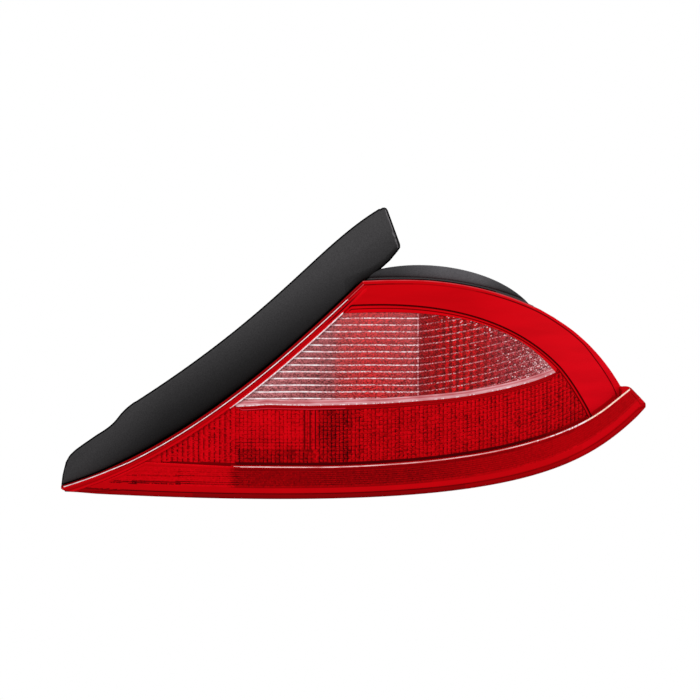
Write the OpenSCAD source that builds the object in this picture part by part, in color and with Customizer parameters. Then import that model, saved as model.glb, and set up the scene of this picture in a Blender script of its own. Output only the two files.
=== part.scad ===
// Tail light cluster for one rear corner of a car: a wedge-shaped red lens
// with a clear window, a moulded housing with its bulbs and wiring plate, and
// a satin black filler trim along the slanted edge.
// The origin is the centre of the stud pattern, on the plane where the lamp
// meets the body panel. +X runs along the lamp, +Z up, and the lens faces -Y.

/* [Lens] */
// Length of the lens from tip to tip
lens_len = 467; // [440:1:490]
// Height of the lens from its lowest point to its top edge
lens_h = 176.5; // [166:0.5:186]
// Depth from the crown of the lens to the body panel
lamp_depth = 104; // [98:1:118]
// Radius of the lens's curved face
face_r = 620; // [560:5:700]
// Distance from the middle of the lens to the crown of its face
crown_shift = 25; // [0:1:50]
// Wall thickness of the lens
lens_t = 3.2; // [2.6:0.1:3.6]
// Depth of the lens's side wall
skirt_d = 14; // [12:0.5:16]
// How far the optical panel lies below the lens's border
recess_d = 1; // [0.6:0.1:1.2]
// Width of the plain border along the slanted edge
border_w = 6.4; // [5:0.2:8]
// How far the lower lip stands out at its right end
lip_out = 12; // [8:0.5:15]
// Thickness of the reflex reflector behind the lip
reflex_t = 2.4; // [2:0.1:3]

/* [Flutes and pillows] */
// Height of one flute in the clear window
flute_pitch = 5.3; // [4.5:0.1:6.5]
// How far the flutes stand out inside the window
flute_d = 1.2; // [0.8:0.1:1.5]
// Wall thickness of the clear window at the flutes' edges
window_t = 2.2; // [1.8:0.1:2.6]
// Depth of the clear window's edge wall
window_edge_d = 8; // [6:0.5:9]
// Width of the clear window's edge wall
window_edge_w = 2.4; // [1.8:0.1:3]
// Height of one row of pillows behind the red panel
pillow_pitch = 4.2; // [3.5:0.1:5]
// How far the pillows stand out inside the red panel
pillow_d = 0.8; // [0.5:0.1:1]

/* [Lens joint] */
// Width of the groove in the housing that holds the lens
groove_w = 3; // [2.6:0.1:3.4]
// Thickness of the groove's walls
groove_wall = 1.8; // [1.5:0.1:2.2]
// Depth of the groove
groove_d = 7.5; // [6.5:0.5:9]
// Thickness of the tongue on the lens's rim
tongue_t = 2.2; // [1.8:0.1:2.4]
// Gap under the tongue that the sealant fills
sealant_t = 2.5; // [2:0.1:3]

/* [Housing] */
// Wall thickness of the housing
housing_t = 2.5; // [2:0.1:3]
// Depth of the housing's shallow rim behind the lens's face
rim_d = 34; // [31:0.5:37]
// Height of the housing's top above the lens
top_rise = 11; // [8:0.5:13]
// Distance from the body panel to the housing's shoulder
shoulder_y = 25.5; // [22:0.5:30]
// Thickness of the foam gasket on the body panel
gasket_t = 6; // [5:0.5:8]
// Width of the foam gasket
gasket_w = 8; // [6:0.5:9]

/* [Fixing] */
// Distance between the studs along the lamp
stud_sx = 200; // [190:1:210]
// Distance between the upper and the lower studs
stud_sz = 60; // [54:1:64]
// Diameter of the studs
stud_dia = 6; // [5:0.5:7]
// Length of the studs behind the body panel
stud_out = 24; // [18:1:30]
// Distance of the stud pattern from the middle of the lens
stud_shift = 55.4; // [48:0.2:60]
// Height of the stud pattern above the lens's lowest point
stud_rise = 71; // [68:0.5:76]
// Diameter of the locating peg
peg_dia = 8; // [7:0.5:9]
// Length of the locating peg behind the body panel
peg_out = 13; // [10:1:16]

/* [Bulbs and carrier] */
// Distance between the bulbs along the lamp
bulb_px = 88; // [82:1:92]
// Distance between the upper and the lower bulbs
bulb_pz = 52; // [48:1:54]
// Height of the bulbs' middle above the studs' middle
bulb_rise = 12; // [9:0.5:14]
// Diameter of a bulb's metal cap
cap_dia = 15; // [14:0.5:16]
// Length of a bulb's metal cap
cap_len = 17; // [15:0.5:19]
// Diameter of a bulb's glass
glass_dia = 25; // [22:0.5:27]
// Length of a bulb from its base to its tip
bulb_len = 51; // [46:1:54]
// Distance from a bulb's middle to the carrier's edge
carrier_edge = 23; // [21:0.5:25]
// Thickness of the carrier
carrier_t = 2.8; // [2.2:0.1:3.4]
// Thickness of the carrier's seal
seal_t = 2; // [1.5:0.1:2.5]
// Radius of the reflector's dishes
dish_r = 110; // [100:1:125]

/* [Connector] */
// Distance between the connector's pins
pin_pitch = 5; // [4.4:0.1:5.6]
// Length of the connector's socket
socket_len = 21; // [18:0.5:25]
// Inner height of the connector's socket
socket_h = 10; // [8.5:0.5:12]
// Thickness of the contact strips
strip_t = 0.8; // [0.6:0.1:1]

/* [Corner trim] */
// Height of the trim's top corner above the lens
trim_rise = 56; // [50:1:60]
// Wall thickness of the trim
trim_t = 2.6; // [2.2:0.1:3]
// Radius that rounds the trim's face across its width
trim_round = 70; // [62:1:80]
// Gap between the trim and the lens
trim_gap = 0.6; // [0.4:0.1:0.9]
// How far the trim's face lies behind the lens's face
trim_drop = 4; // [3:0.5:5]
// Depth of the trim's side walls
trim_deep = 22; // [19:0.5:25]

/* [Hidden] */

// Face geometry
face_c = [crown_shift - stud_shift, face_r - lamp_depth, lens_h / 2 - stud_rise];
far = 2 * lamp_depth;
$fn = 48;

// A place on the lens: u runs from -0.5 at the left tip to 0.5 at the right
// tip, v from 0 at the lowest point to 1 at the top edge
function at(u, v) = [u * lens_len - stud_shift, v * lens_h - stud_rise];
function bez(p, t) = pow(1 - t, 3) * p[0] + 3 * t * pow(1 - t, 2) * p[1]
    + 3 * t * t * (1 - t) * p[2] + pow(t, 3) * p[3];
function curve(p, n) = [for (i = [0 : n]) bez(p, i / n)];
// The same points without the first, where it repeats a neighbour's last
function rest(p) = [for (i = [1 : len(p) - 1]) p[i]];
function flip(p) = [for (i = [len(p) - 1 : -1 : 0]) p[i]];
// Distance along Y to the face, d behind the lens's outer face
function face_y(x, z, d) = face_c.y
    - sqrt(pow(face_r - d, 2) - pow(x - face_c.x, 2) - pow(z - face_c.z, 2));

// Edges of the lens and lines on it, each a curve with four control points
slant_edge = [at(-0.5, 0.061), at(-0.296, 0.233), at(-0.136, 0.605), at(0.015, 0.988)];
top_edge = [at(0.018, 0.993), at(0.187, 1.027), at(0.372, 0.922), at(0.46, 0.4965)];
low_edge = [at(-0.496, 0.029), at(0.278, -0.073), at(0.388, 0.123), at(0.4995, 0.417)];
lip_line = [at(-0.336, 0.167), at(-0.11, 0.139), at(0.308, 0.057), at(0.471, 0.498)];
panel_line = [at(-0.004, 0.878), at(0.161, 0.902), at(0.327, 0.819), at(0.407, 0.397)];
window_top = [at(-0.019, 0.84), at(0.106, 0.851), at(0.252, 0.861), at(0.341, 0.586)];
window_low = [at(-0.209, 0.416), at(-0.028, 0.452), at(0.17, 0.37), at(0.342, 0.575)];
window_slant = [at(-0.212, 0.42), at(-0.165, 0.482), at(-0.06, 0.749), at(-0.019, 0.84)];
lip_end = [at(0.465, 0.51), at(0.474, 0.503), at(0.488, 0.468), at(0.499, 0.438)];
housing_top = [at(-0.02, 0.899 + top_rise / lens_h), at(0.061, 1.076 + top_rise / lens_h),
    at(0.296, 1.007 + top_rise / lens_h), at(0.324, 0.762)];

// Thickness of the pillows' sheet between its rows
pillow_base = 0.3;

// The lip's face is the lens's face moved so that the two part at lip_start
lip_start = at(-0.212, 0).x;
lip_stop = at(0.5, 0).x;
function face_slope(x) = (x - face_c.x) / sqrt(pow(face_r, 2) - pow(x - face_c.x, 2));
lip_dx = lip_out / (face_slope(lip_stop) - face_slope(lip_start));
lip_dy = lip_dx * face_slope(lip_start);

// The joint between the lens and the housing, as distances in from the edge
joint_clear = 0.4;
housing_in = 0.2;
groove_in = housing_in + groove_wall;
groove_far = groove_in + groove_w;
rim_in = groove_far + groove_wall;
groove_bottom = skirt_d + groove_d;
tongue_end = groove_bottom - sealant_t;
tongue_in = groove_in + (groove_w - tongue_t) / 2;

// Bulb places, upper left first
bulb_z = [bulb_rise + bulb_pz / 2, bulb_rise - bulb_pz / 2];
turn_at = [-bulb_px / 2, bulb_z[0]];
reverse_at = [bulb_px / 2, bulb_z[0]];
fog_at = [-bulb_px / 2, bulb_z[1]];
stop_at = [bulb_px / 2, bulb_z[1]];
bulb_places = [turn_at, reverse_at, fog_at, stop_at];
window_split = at(0.11, 0).x;
chamber_split = at(0, 0.43).y;

// Carrier, seal and land, from the gasket's front forward
land_y = -gasket_t;
carrier_back = land_y + seal_t + carrier_t;
carrier_front = land_y + seal_t;
carrier_w = bulb_px + 2 * carrier_edge;
carrier_h = bulb_pz + 2 * carrier_edge - 2;
carrier_round = 10;
land_lap = 5;
screw_in = 8;
screw_r = 1.9;
screw_post_r = 4;
screw_head_r = 3.6;
screw_head_t = 2.4;
screw_len = 14;
gasket_in = 1;
seal_in = 0.4;
box_margin = gasket_w + land_lap + gasket_in;

// Bulb lengths, from the carrier's front forward
pip_t = 1.2;
pip_r = 2;
insulator_t = 1;
cap_base = carrier_front - pip_t - insulator_t;
cap_front = cap_base - cap_len;
glass_tip = carrier_front - bulb_len;
sleeve_gap = 0.2;
sleeve_t = 0.7;
collar_t = 2;
sleeve_r = cap_dia / 2 + sleeve_gap + sleeve_t;
collar_r = sleeve_r + collar_t;
sleeve_front = cap_front + 1;
bayonet_r = 1;
pip_gap = 3;

// Reflector
dish_back = sleeve_front - 3;
dish_t = 2.2;
bulb_hole_r = glass_dia / 2 + 2.5;
reflector_in = rim_in + 2.2;
reflector_front = 11;
foot_x = (stud_sx + carrier_w) / 4 + 8;

// Contact strips and connector
strip_w = 3.6;
pin_w = 2.2;
pin_count = 6;
function pin_x(i) = (i - (pin_count - 1) / 2) * pin_pitch;
socket_wall = 1.8;
socket_w = pin_count * pin_pitch + 3;
pin_end = socket_len - 7;

// Studs and their bosses
boss_r = stud_dia / 2 + 6;
shoulder_margin = boss_r + 7;
shoulder_round = 20;
stud_shank_r = stud_dia / 2 + 0.6;
stud_head_r = stud_dia / 2 + 3;
stud_head_t = 4;
stud_head_y = -shoulder_y + 4;
stud_places = [for (sx = [-1, 1], sz = [-1, 1]) [sx * stud_sx / 2, sz * stud_sz / 2]];
peg_at = [stud_sx / 2 + 35, -5];
peg_base_r = peg_dia / 2 + 3;

// Stiffening ribs across the housing's back, outside its deep middle
rib_t = 2;
rib_h = 7;
ribs_up = [-0.37, -0.3, -0.235, 0.03, 0.22, 0.405, 0.45];
ribs_along = [-45, peg_at.y];

// Vents
vent_r = 4;
vent_bore = 2.4;
vent_len = 12;
vent_cap_t = 1.8;
vent_places = [[-stud_sx / 2 - 45, -20], [10, bulb_rise + carrier_h / 2 + box_margin + 12]];

// Corner trim
flange_w = 20;
flange_clear = 0.6;
trim_post_in = 11.5;
pad_rise = 3;
top_front = 9;
trim_post_r = 2.5;
trim_pad_r = 7;
clip_r = 6.5;
clip_t = 0.8;
trim_clip_t = [0.2, 0.42, 0.64, 0.86];
slant_angle = atan2(lens_h * 0.93, lens_len * 0.515);
slant_normal = [-sin(slant_angle), cos(slant_angle)];
trim_ridge = 84;
trim_places = [for (t = trim_clip_t) bez(slant_edge, t) + trim_post_in * slant_normal];

// Flat outlines, drawn with X along the lamp and Y as height
module lens_2d() {
    polygon(concat(curve(slant_edge, 14), curve(top_edge, 18), lip_end, flip(curve(low_edge, 18))));
}

module lip_2d() {
    polygon(concat([at(-0.476, 0.05)], curve(lip_line, 16), lip_end, flip(curve(low_edge, 18))));
}

module above_lip_2d() {
    polygon(concat([at(-0.476, 0.07)], [for (p = curve(lip_line, 16)) p + [0, 3.4]],
        [at(0.6, 1.2), at(-0.6, 1.2)]));
}

// The red panel with pillows and the clear window lie inside this outline
module panel_2d() {
    intersection() {
        offset(delta = -border_w) lens_2d();
        above_lip_2d();
        polygon(concat([at(-0.4, 0), at(-0.4, 0.4), at(-0.1, 0.8)], curve(panel_line, 16), [at(0.38, 0)]));
    }
}

module window_2d() {
    polygon(concat(curve(window_slant, 8), rest(curve(window_top, 14)), flip(curve(window_low, 14))));
}

// The part of the panel below the window, which has pillows behind it
module pillow_2d() {
    intersection() {
        offset(delta = -1) panel_2d();
        polygon(concat([at(-0.6, -0.3), at(-0.6, 0.41)], [for (p = curve(window_low, 14)) p - [0, 2.4]],
            [at(0.35, 0.62), at(0.5, 0.62), at(0.5, -0.3)]));
    }
}

// A band of the lens outline between two distances in from its edge
module rim_2d(a, b) {
    difference() {
        offset(delta = -a) lens_2d();
        offset(delta = -b) lens_2d();
    }
}

module round_box_2d(w, h, r, rise) {
    translate([0, rise]) offset(r = r) square([w - 2 * r, h - 2 * r], center = true);
}

module carrier_2d() {
    round_box_2d(carrier_w, carrier_h, carrier_round, bulb_rise);
}

module box_2d() {
    intersection() {
        round_box_2d(carrier_w + 2 * box_margin, carrier_h + 2 * box_margin,
            carrier_round + box_margin, bulb_rise);
        offset(delta = -rim_in) lens_2d();
    }
}

module shoulder_2d() {
    intersection() {
        round_box_2d(stud_sx + 2 * shoulder_margin, stud_sz + 2 * shoulder_margin, shoulder_round, 0);
        offset(delta = -rim_in) lens_2d();
    }
}

module ribs_2d() {
    intersection() {
        offset(delta = -groove_far - 1) lens_2d();
        union() {
            for (u = ribs_up) translate([at(u, 0).x - rib_t / 2, at(0, 0).y]) square([rib_t, lens_h]);
            for (z = ribs_along) translate([at(-0.5, 0).x, z - rib_t / 2]) square([lens_len, rib_t]);
        }
    }
}

module deep_2d(inset) {
    offset(delta = -inset) {
        box_2d();
        shoulder_2d();
    }
}

// Screw places at the carrier's corners
screw_places = [for (sx = [-1, 1], sz = [-1, 1])
    [sx * (carrier_w / 2 - screw_in), bulb_rise + sz * (carrier_h / 2 - screw_in)]];

module opening_2d() {
    difference() {
        offset(delta = -land_lap) carrier_2d();
        for (p = screw_places) translate(p) circle(r = screw_post_r + 3);
    }
}

module trim_2d() {
    difference() {
        offset(r = 2.5) offset(delta = -2.5) polygon(concat(
            [at(-0.5, 0.06), at(-0.497, 0.13), at(-0.488, 0.19), at(-0.479, 0.228)],
            curve([at(-0.44, 0.29), at(-0.394, 0.36), at(-0.412, 0.369), at(-0.376, 0.437)], 6),
            curve([at(-0.372, 0.442), at(-0.123, 0.862), at(-0.065, 1.137),
                at(0.048, 1) + [0, trim_rise]], 14),
            [at(0.057, 1) + [0, trim_rise], at(0.081, 1) + [0, trim_rise * 0.44]],
            curve([at(0.079, 1) + [0, trim_rise * 0.4], at(0.045, 1.06), at(0.035, 0.98),
                at(0.008, 0.96)], 6),
            flip(curve(slant_edge, 14))));
        offset(delta = trim_gap) lens_2d();
    }
}

// The housing's black top that shows above the lens
module housing_top_2d() {
    polygon(concat(curve(housing_top, 16), [at(0.2, 0.8), at(0, 0.8)]));
}

// Solids that follow the lens's face
module upright(from_y, to_y) {
    translate([0, to_y, 0]) rotate([90, 0, 0]) linear_extrude(to_y - from_y) children();
}

module face_ball(d) {
    translate(face_c) sphere(r = face_r - d, $fn = 360);
}

module layer(d1, d2) {
    difference() {
        intersection() {
            upright(-far, stud_out) children();
            face_ball(d1);
        }
        face_ball(d2);
    }
}

module lip_ball(d) {
    translate(face_c + [lip_dx, lip_dy, 0]) sphere(r = face_r - d, $fn = 360);
}

// Points down the side of a ridged turned body: rows of round ridges on a
// sphere of radius r, from height z0 up to z1
function ridges(r, z0, z1, pitch, depth) = [for (k = [0 : ceil((z1 - z0) / pitch) - 1], j = [0 : 3])
    let (z = z0 + (k + j / 4) * pitch, s = 1 - pow(j / 2 - 1, 2))
    [sqrt(r * r - z * z) - depth * s, z]];

module ridged_ball(r, z0, z1, pitch, depth) {
    points = ridges(r, z0, z1, pitch, depth);
    translate(face_c) rotate([0, 0, 235]) rotate_extrude(angle = 70, $fn = 360)
        polygon(concat([[r - far, z0], [r - far, points[len(points) - 1].y]], flip(points)));
}

// A rod along Y from one depth to another
module rod(p, r, from_y, to_y) {
    translate([p.x, to_y, p.y]) rotate([90, 0, 0]) cylinder(r = r, h = to_y - from_y);
}

// The lens is cut from one block, so its skin, side wall and tongue are one
module red_lens() {
    color([0.72, 0.02, 0.04]) difference() {
        union() {
            intersection() {
                upright(-far, stud_out) lens_2d();
                face_ball(0);
            }
            intersection() {
                upright(-far, stud_out) lip_2d();
                lip_ball(0);
            }
        }
        lens_hollow();
        intersection() {
            upright(-far, far) offset(delta = -lens_t) lip_2d();
            lip_ball(lens_t);
        }
        face_ball(tongue_end);
        intersection() {
            upright(-far, far) rim_2d(-1, tongue_in);
            face_ball(skirt_d);
        }
        difference() {
            upright(-far, 0) panel_2d();
            face_ball(recess_d);
        }
        upright(-far, 0) window_2d();
    }
}

// The room behind the lens's skin, wider in front of the tongue's foot
module lens_hollow() {
    difference() {
        intersection() {
            upright(-far, far) offset(delta = -tongue_in - tongue_t) lens_2d();
            face_ball(lens_t);
        }
        pillows();
    }
    layer(lens_t, skirt_d - 3) rim_2d(lens_t, tongue_in + tongue_t + 1);
}

module pillows() {
    difference() {
        intersection() {
            upright(-far, 0) pillow_2d();
            face_ball(lens_t - 0.4);
        }
        ridged_ball(face_r - lens_t - pillow_base, at(0, 0.04).y - face_c.z, at(0, 0.62).y - face_c.z,
            pillow_pitch, pillow_d);
    }
}

// A curved pane with turned flutes inside and a deep edge wall all round
module clear_window() {
    color([0.92, 0.86, 0.86]) difference() {
        intersection() {
            upright(-far, 0) window_2d();
            face_ball(recess_d);
        }
        intersection() {
            upright(-far, far) offset(delta = -window_edge_w) window_2d();
            ridged_ball(face_r - recess_d - window_t, at(0, 0.4).y - face_c.z, at(0, 0.9).y - face_c.z,
                flute_pitch, flute_d);
        }
        face_ball(window_edge_d);
    }
}

module reflex_strip() {
    color([0.6, 0.0, 0.03]) difference() {
        intersection() {
            upright(-far, 0) intersection() {
                offset(delta = -lens_t - 1) lip_2d();
                translate([at(-0.1, 0).x, at(0, 0).y]) square([lens_len * 0.4, lens_h]);
            }
            lip_ball(lens_t);
        }
        lip_ball(lens_t + reflex_t);
    }
}

module lens_sealant() {
    color([0.15, 0.15, 0.15]) difference() {
        layer(tongue_end - 2, groove_bottom) rim_2d(groove_in, groove_far);
        layer(0, tongue_end) rim_2d(tongue_in, tongue_in + tongue_t);
    }
}

module housing_shell() {
    layer(skirt_d, groove_bottom + groove_wall) rim_2d(housing_in, rim_in);
    layer(groove_bottom, rim_d + housing_t) rim_2d(groove_far, rim_in);
    layer(rim_d, rim_d + housing_t) offset(delta = -groove_far) lens_2d();
    layer(rim_d + 1, rim_d + housing_t + rib_h) ribs_2d();
    intersection() {
        upright(-far, -shoulder_y) shoulder_2d();
        face_ball(rim_d);
    }
    intersection() {
        upright(-far, land_y) box_2d();
        face_ball(rim_d);
    }
}

module housing_top() {
    difference() {
        layer(top_front, groove_bottom + groove_wall) difference() {
            housing_top_2d();
            offset(delta = -groove_in) lens_2d();
        }
        layer(0, skirt_d) offset(delta = joint_clear) lens_2d();
        layer(top_front + housing_t, rim_d) difference() {
            offset(delta = -housing_t) housing_top_2d();
            offset(delta = housing_t) lens_2d();
        }
    }
}

module trim_flange() {
    layer(groove_bottom - housing_t, groove_bottom) intersection() {
        offset(delta = flange_w) lens_2d();
        offset(delta = -trim_t - flange_clear) trim_2d();
    }
    layer(groove_bottom - housing_t, groove_bottom) intersection() {
        difference() {
            offset(delta = 5) lens_2d();
            offset(delta = -groove_in) lens_2d();
        }
        offset(delta = 4) trim_2d();
        translate(at(-0.485, 0.09)) square([lens_len * 0.485, lens_h]);
    }
    for (p = trim_places) rod(p, trim_pad_r, pad_y(p), clip_y(p));
}

module lamp_housing() {
    color([0.09, 0.09, 0.09]) difference() {
        union() {
            difference() {
                housing_shell();
                layer(0, groove_bottom) rim_2d(groove_in, groove_far);
                upright(-far, -shoulder_y - housing_t) offset(delta = -housing_t) shoulder_2d();
                upright(-far, land_y - housing_t) offset(delta = -housing_t) box_2d();
                upright(-far, 0) opening_2d();
            }
            housing_top();
            trim_flange();
            for (p = stud_places) rod(p, boss_r, -shoulder_y - housing_t - 1, 0);
            for (p = screw_places) rod(p, screw_post_r, land_y - screw_len, land_y);
            rod(peg_at, peg_base_r, face_y(peg_at.x, peg_at.y, rim_d + 1), 0);
            rod(peg_at, peg_dia / 2, -1, peg_out);
            for (p = vent_places) rod(p, vent_r, face_y(p.x, p.y, rim_d + 1),
                face_y(p.x, p.y, rim_d + housing_t) + vent_len);
        }
        for (p = stud_places) stud(p);
        for (p = screw_places) rod(p, screw_r, land_y - screw_len + 1, 1);
        for (p = vent_places) rod(p, vent_bore, -far, 0);
        for (p = trim_places) rod(p, trim_post_r + 0.3, -far, 0);
        for (sx = [-1, 1]) rod([sx * foot_x, 0], screw_r + 0.3, -far, 0);
    }
}

module tray(p, cell_x, cell_z) {
    ball_y = dish_back - dish_r;
    difference() {
        intersection() {
            upright(-far, 0) cell_2d(cell_x, cell_z, 0);
            translate([p.x, ball_y, p.y]) sphere(r = dish_r + dish_t, $fn = 160);
            face_ball(reflector_front);
            tray_room(0);
        }
        intersection() {
            upright(-far, 0) cell_2d(cell_x, cell_z, dish_t * 0.8);
            translate([p.x, ball_y, p.y]) sphere(r = dish_r, $fn = 160);
            tray_room(dish_t);
        }
        rod(p, bulb_hole_r, -far, 0);
    }
}

// The room in front of the housing's floor, less a margin
module tray_room(m) {
    difference() {
        upright(-far, 0) offset(delta = 5) lens_2d();
        difference() {
            face_ball(rim_d - 1.5 - m);
            upright(-far, 0) deep_2d(housing_t + 1 + m);
        }
    }
}

module cell_2d(side_x, side_z, inset) {
    offset(delta = -inset) intersection() {
        offset(delta = -reflector_in) lens_2d();
        translate([side_x > 0 ? window_split - 1 : -far - lens_len, side_z > 0 ? chamber_split - 1 : -far])
            square([side_x > 0 ? lens_len : far + lens_len + window_split + 1,
                side_z > 0 ? lens_h : far + chamber_split + 1]);
    }
}

module reflector() {
    color([0.82, 0.82, 0.84]) difference() {
        union() {
            tray(turn_at, -1, 1);
            tray(reverse_at, 1, 1);
            tray(fog_at, -1, -1);
            tray(stop_at, 1, -1);
            for (sx = [-1, 1]) intersection() {
                rod([sx * foot_x, 0], screw_r + 2.4, -far, -shoulder_y - housing_t);
                foot_room(sx);
            }
        }
        for (sx = [-1, 1]) rod([sx * foot_x, 0], screw_r, -shoulder_y - housing_t - 7, 0);
    }
}

// The room behind the dishes, where the reflector's feet stand
module foot_room(sx) {
    p = sx > 0 ? stop_at : fog_at;
    difference() {
        upright(-far, 0) translate([sx * foot_x, 0]) circle(r = 12);
        translate([p.x, dish_back - dish_r, p.y]) sphere(r = dish_r + dish_t / 2, $fn = 160);
    }
}

module screw(p, from_y, head_y) {
    rod(p, screw_r, from_y, head_y);
    rod(p, screw_head_r, head_y, head_y + screw_head_t);
}

module cross_slot(p, y) {
    for (a = [0, 90]) translate([p.x, y, p.y]) rotate([0, a, 0])
        cube([screw_head_r * 1.3, 2.4, 0.9], center = true);
}

module reflector_screws() {
    color([0.7, 0.7, 0.66]) for (sx = [-1, 1]) difference() {
        screw([sx * foot_x, 0], -shoulder_y - housing_t - 6, -shoulder_y);
        cross_slot([sx * foot_x, 0], -shoulder_y + screw_head_t);
    }
}

module carrier_screws() {
    color([0.7, 0.7, 0.66]) for (p = screw_places) difference() {
        screw(p, land_y - screw_len + 2, carrier_back);
        cross_slot(p, carrier_back + screw_head_t);
    }
}

// The trim's face: a ring-shaped surface whose ridge follows the lens's face
module trim_ring(d) {
    big_r = sqrt(pow(face_r - trim_drop, 2) - pow(trim_ridge, 2)) - trim_round;
    translate(face_c) rotate([0, -slant_angle, 0]) translate([0, 0, trim_ridge])
        rotate([0, 0, 180]) rotate_extrude(angle = 180, $fn = 240)
            translate([big_r, 0]) circle(r = trim_round - d, $fn = 120);
}

module corner_trim() {
    color([0.1, 0.1, 0.1]) {
        difference() {
            intersection() {
                upright(-far, 0) trim_2d();
                trim_ring(0);
            }
            intersection() {
                upright(-far, 0) offset(delta = -trim_t) trim_2d();
                trim_ring(trim_t);
            }
            face_ball(trim_drop + trim_deep);
            layer(top_front - trim_gap, rim_d) offset(delta = trim_gap) housing_top_2d();
            layer(groove_bottom - housing_t - trim_gap, rim_d)
                offset(delta = trim_gap + trim_t + flange_clear) lens_2d();
        }
        for (p = trim_places) {
            intersection() {
                rod(p, trim_post_r + 2, -far, pad_y(p));
                trim_ring(trim_t / 2);
            }
            rod(p, trim_post_r, pad_y(p) - 2, clip_y(p) + clip_t + 2);
        }
    }
}

// Front and back of the flat pad round each of the trim's posts
function pad_y(p) = face_y(p.x, p.y, groove_bottom - housing_t) - pad_rise;
function clip_y(p) = face_y(p.x, p.y, groove_bottom) + pad_rise;

module trim_clips() {
    color([0.6, 0.6, 0.58]) for (p = trim_places) difference() {
        rod(p, clip_r, clip_y(p), clip_y(p) + clip_t);
        rod(p, trim_post_r, -far, far);
        for (a = [0 : 60 : 120]) translate([p.x, clip_y(p), p.y]) rotate([0, a, 0])
            cube([2 * trim_post_r + 3, 4, 0.7], center = true);
    }
}

module body_gasket() {
    color([0.16, 0.16, 0.17]) upright(land_y, 0) difference() {
        offset(delta = -gasket_in) box_2d();
        offset(delta = -gasket_in - gasket_w) box_2d();
    }
}

module breather_caps() {
    color([0.12, 0.12, 0.12]) for (p = vent_places) {
        base = face_y(p.x, p.y, rim_d + housing_t);
        difference() {
            rod(p, vent_r + vent_cap_t, base + 3, base + vent_len + 3);
            rod(p, vent_r, -far, base + vent_len);
            for (a = [0 : 60 : 120]) translate([p.x, base + vent_len + 1.5, p.y]) rotate([0, a, 0])
                cube([2 * vent_r + 6, 1.4, 2], center = true);
        }
    }
}

module stud(p) {
    rod(p, stud_shank_r, stud_head_y - 1, 0);
    rod(p, stud_dia / 2, -1, stud_out);
    translate([p.x, stud_head_y, p.y]) rotate([90, 0, 0]) cylinder(r = stud_head_r, h = stud_head_t, $fn = 6);
}

module mounting_studs() {
    color([0.75, 0.74, 0.68]) for (p = stud_places) stud(p);
}

module carrier_seal() {
    color([0.2, 0.2, 0.2]) upright(land_y, carrier_front) difference() {
        offset(delta = -seal_in) carrier_2d();
        offset(delta = -land_lap + seal_in) carrier_2d();
    }
}

module bulb_carrier() {
    color([0.85, 0.85, 0.82]) difference() {
        union() {
            upright(carrier_front, carrier_back) carrier_2d();
            for (p = bulb_places) rod(p, collar_r, sleeve_front, carrier_front + 1);
            translate([0, carrier_back - 0.5, bulb_rise]) rotate([-90, 0, 0])
                linear_extrude(socket_len - carrier_back) square([socket_w + 2 * socket_wall,
                    socket_h + 2 * socket_wall], center = true);
            upright(carrier_front - 5, carrier_front + 1) difference() {
                offset(delta = -land_lap - 0.6) carrier_2d();
                offset(delta = -land_lap - 2.4) carrier_2d();
                for (p = screw_places) translate(p) circle(r = screw_post_r + 3.6);
            }
        }
        for (p = bulb_places) {
            rod(p, sleeve_r, -far, carrier_front);
            bayonet_slot(p);
        }
        translate([0, carrier_back, bulb_rise]) rotate([-90, 0, 0])
            linear_extrude(2 * socket_len) square([socket_w, socket_h], center = true);
        for (p = screw_places) rod(p, screw_r + 0.2, -far, far);
        live_strip_set();
        earth_bars();
        translate([pin_x(2), 0, bulb_rise]) cube([pin_w, far, strip_t], center = true);
    }
}

module bayonet_slot(p) {
    translate([p.x, sleeve_front, p.y])
        cube([2 * collar_r + 2, 2 * (cap_len - 6), 2 * bayonet_r + 0.6], center = true);
}

module bulb_sockets() {
    color([0.72, 0.7, 0.64]) for (p = bulb_places) difference() {
        rod(p, sleeve_r, sleeve_front, carrier_front);
        rod(p, sleeve_r - sleeve_t, -far, 0);
        bayonet_slot(p);
    }
}

// Earth strip in front of the carrier: its ends meet the four sleeves
module earth_bars() {
    bar = bulb_px - 2 * sleeve_r + 2;
    for (z = bulb_z) translate([-bar / 2, carrier_front - strip_t, z - strip_w / 2])
        cube([bar, strip_t, strip_w]);
    translate([pin_x(2) - strip_w / 2, carrier_front - strip_t, bulb_z[1]])
        cube([strip_w, strip_t, bulb_pz]);
}

module earth_strip() {
    color([0.75, 0.62, 0.3]) difference() {
        earth_bars();
        for (p = bulb_places) rod(p, sleeve_r, -far, 0);
    }
}

// One live strip: from a bulb's base along the carrier's back to its pin
module live_strip(p, i) {
    low = min(p.y, bulb_rise) - strip_w / 2;
    high = max(p.y, bulb_rise) + strip_w / 2;
    left = min(p.x, pin_x(i)) - strip_w / 2;
    right = max(p.x, pin_x(i)) + strip_w / 2;
    translate([left, carrier_back - strip_t, p.y - strip_w / 2]) cube([right - left, strip_t, strip_w]);
    translate([pin_x(i) - strip_w / 2, carrier_back - strip_t, low]) cube([strip_w, strip_t, high - low]);
    rod(p, pip_r, carrier_front, carrier_back - strip_t / 2);
}

function strip_ends() = [[turn_at, 0], [reverse_at, 5], [fog_at, 1],
    [stop_at + [0, pip_gap], 4], [stop_at - [0, pip_gap], 3]];

module live_strip_set() {
    for (s = strip_ends()) live_strip(s[0], s[1]);
}

module live_strips() {
    color([0.78, 0.66, 0.34]) live_strip_set();
}

module connector_pins() {
    color([0.8, 0.78, 0.72]) for (i = [0 : pin_count - 1])
        translate([pin_x(i) - pin_w / 2, i == 2 ? carrier_front : carrier_back, bulb_rise - strip_t / 2])
            cube([pin_w, pin_end - (i == 2 ? carrier_front : carrier_back), strip_t]);
}

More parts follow.
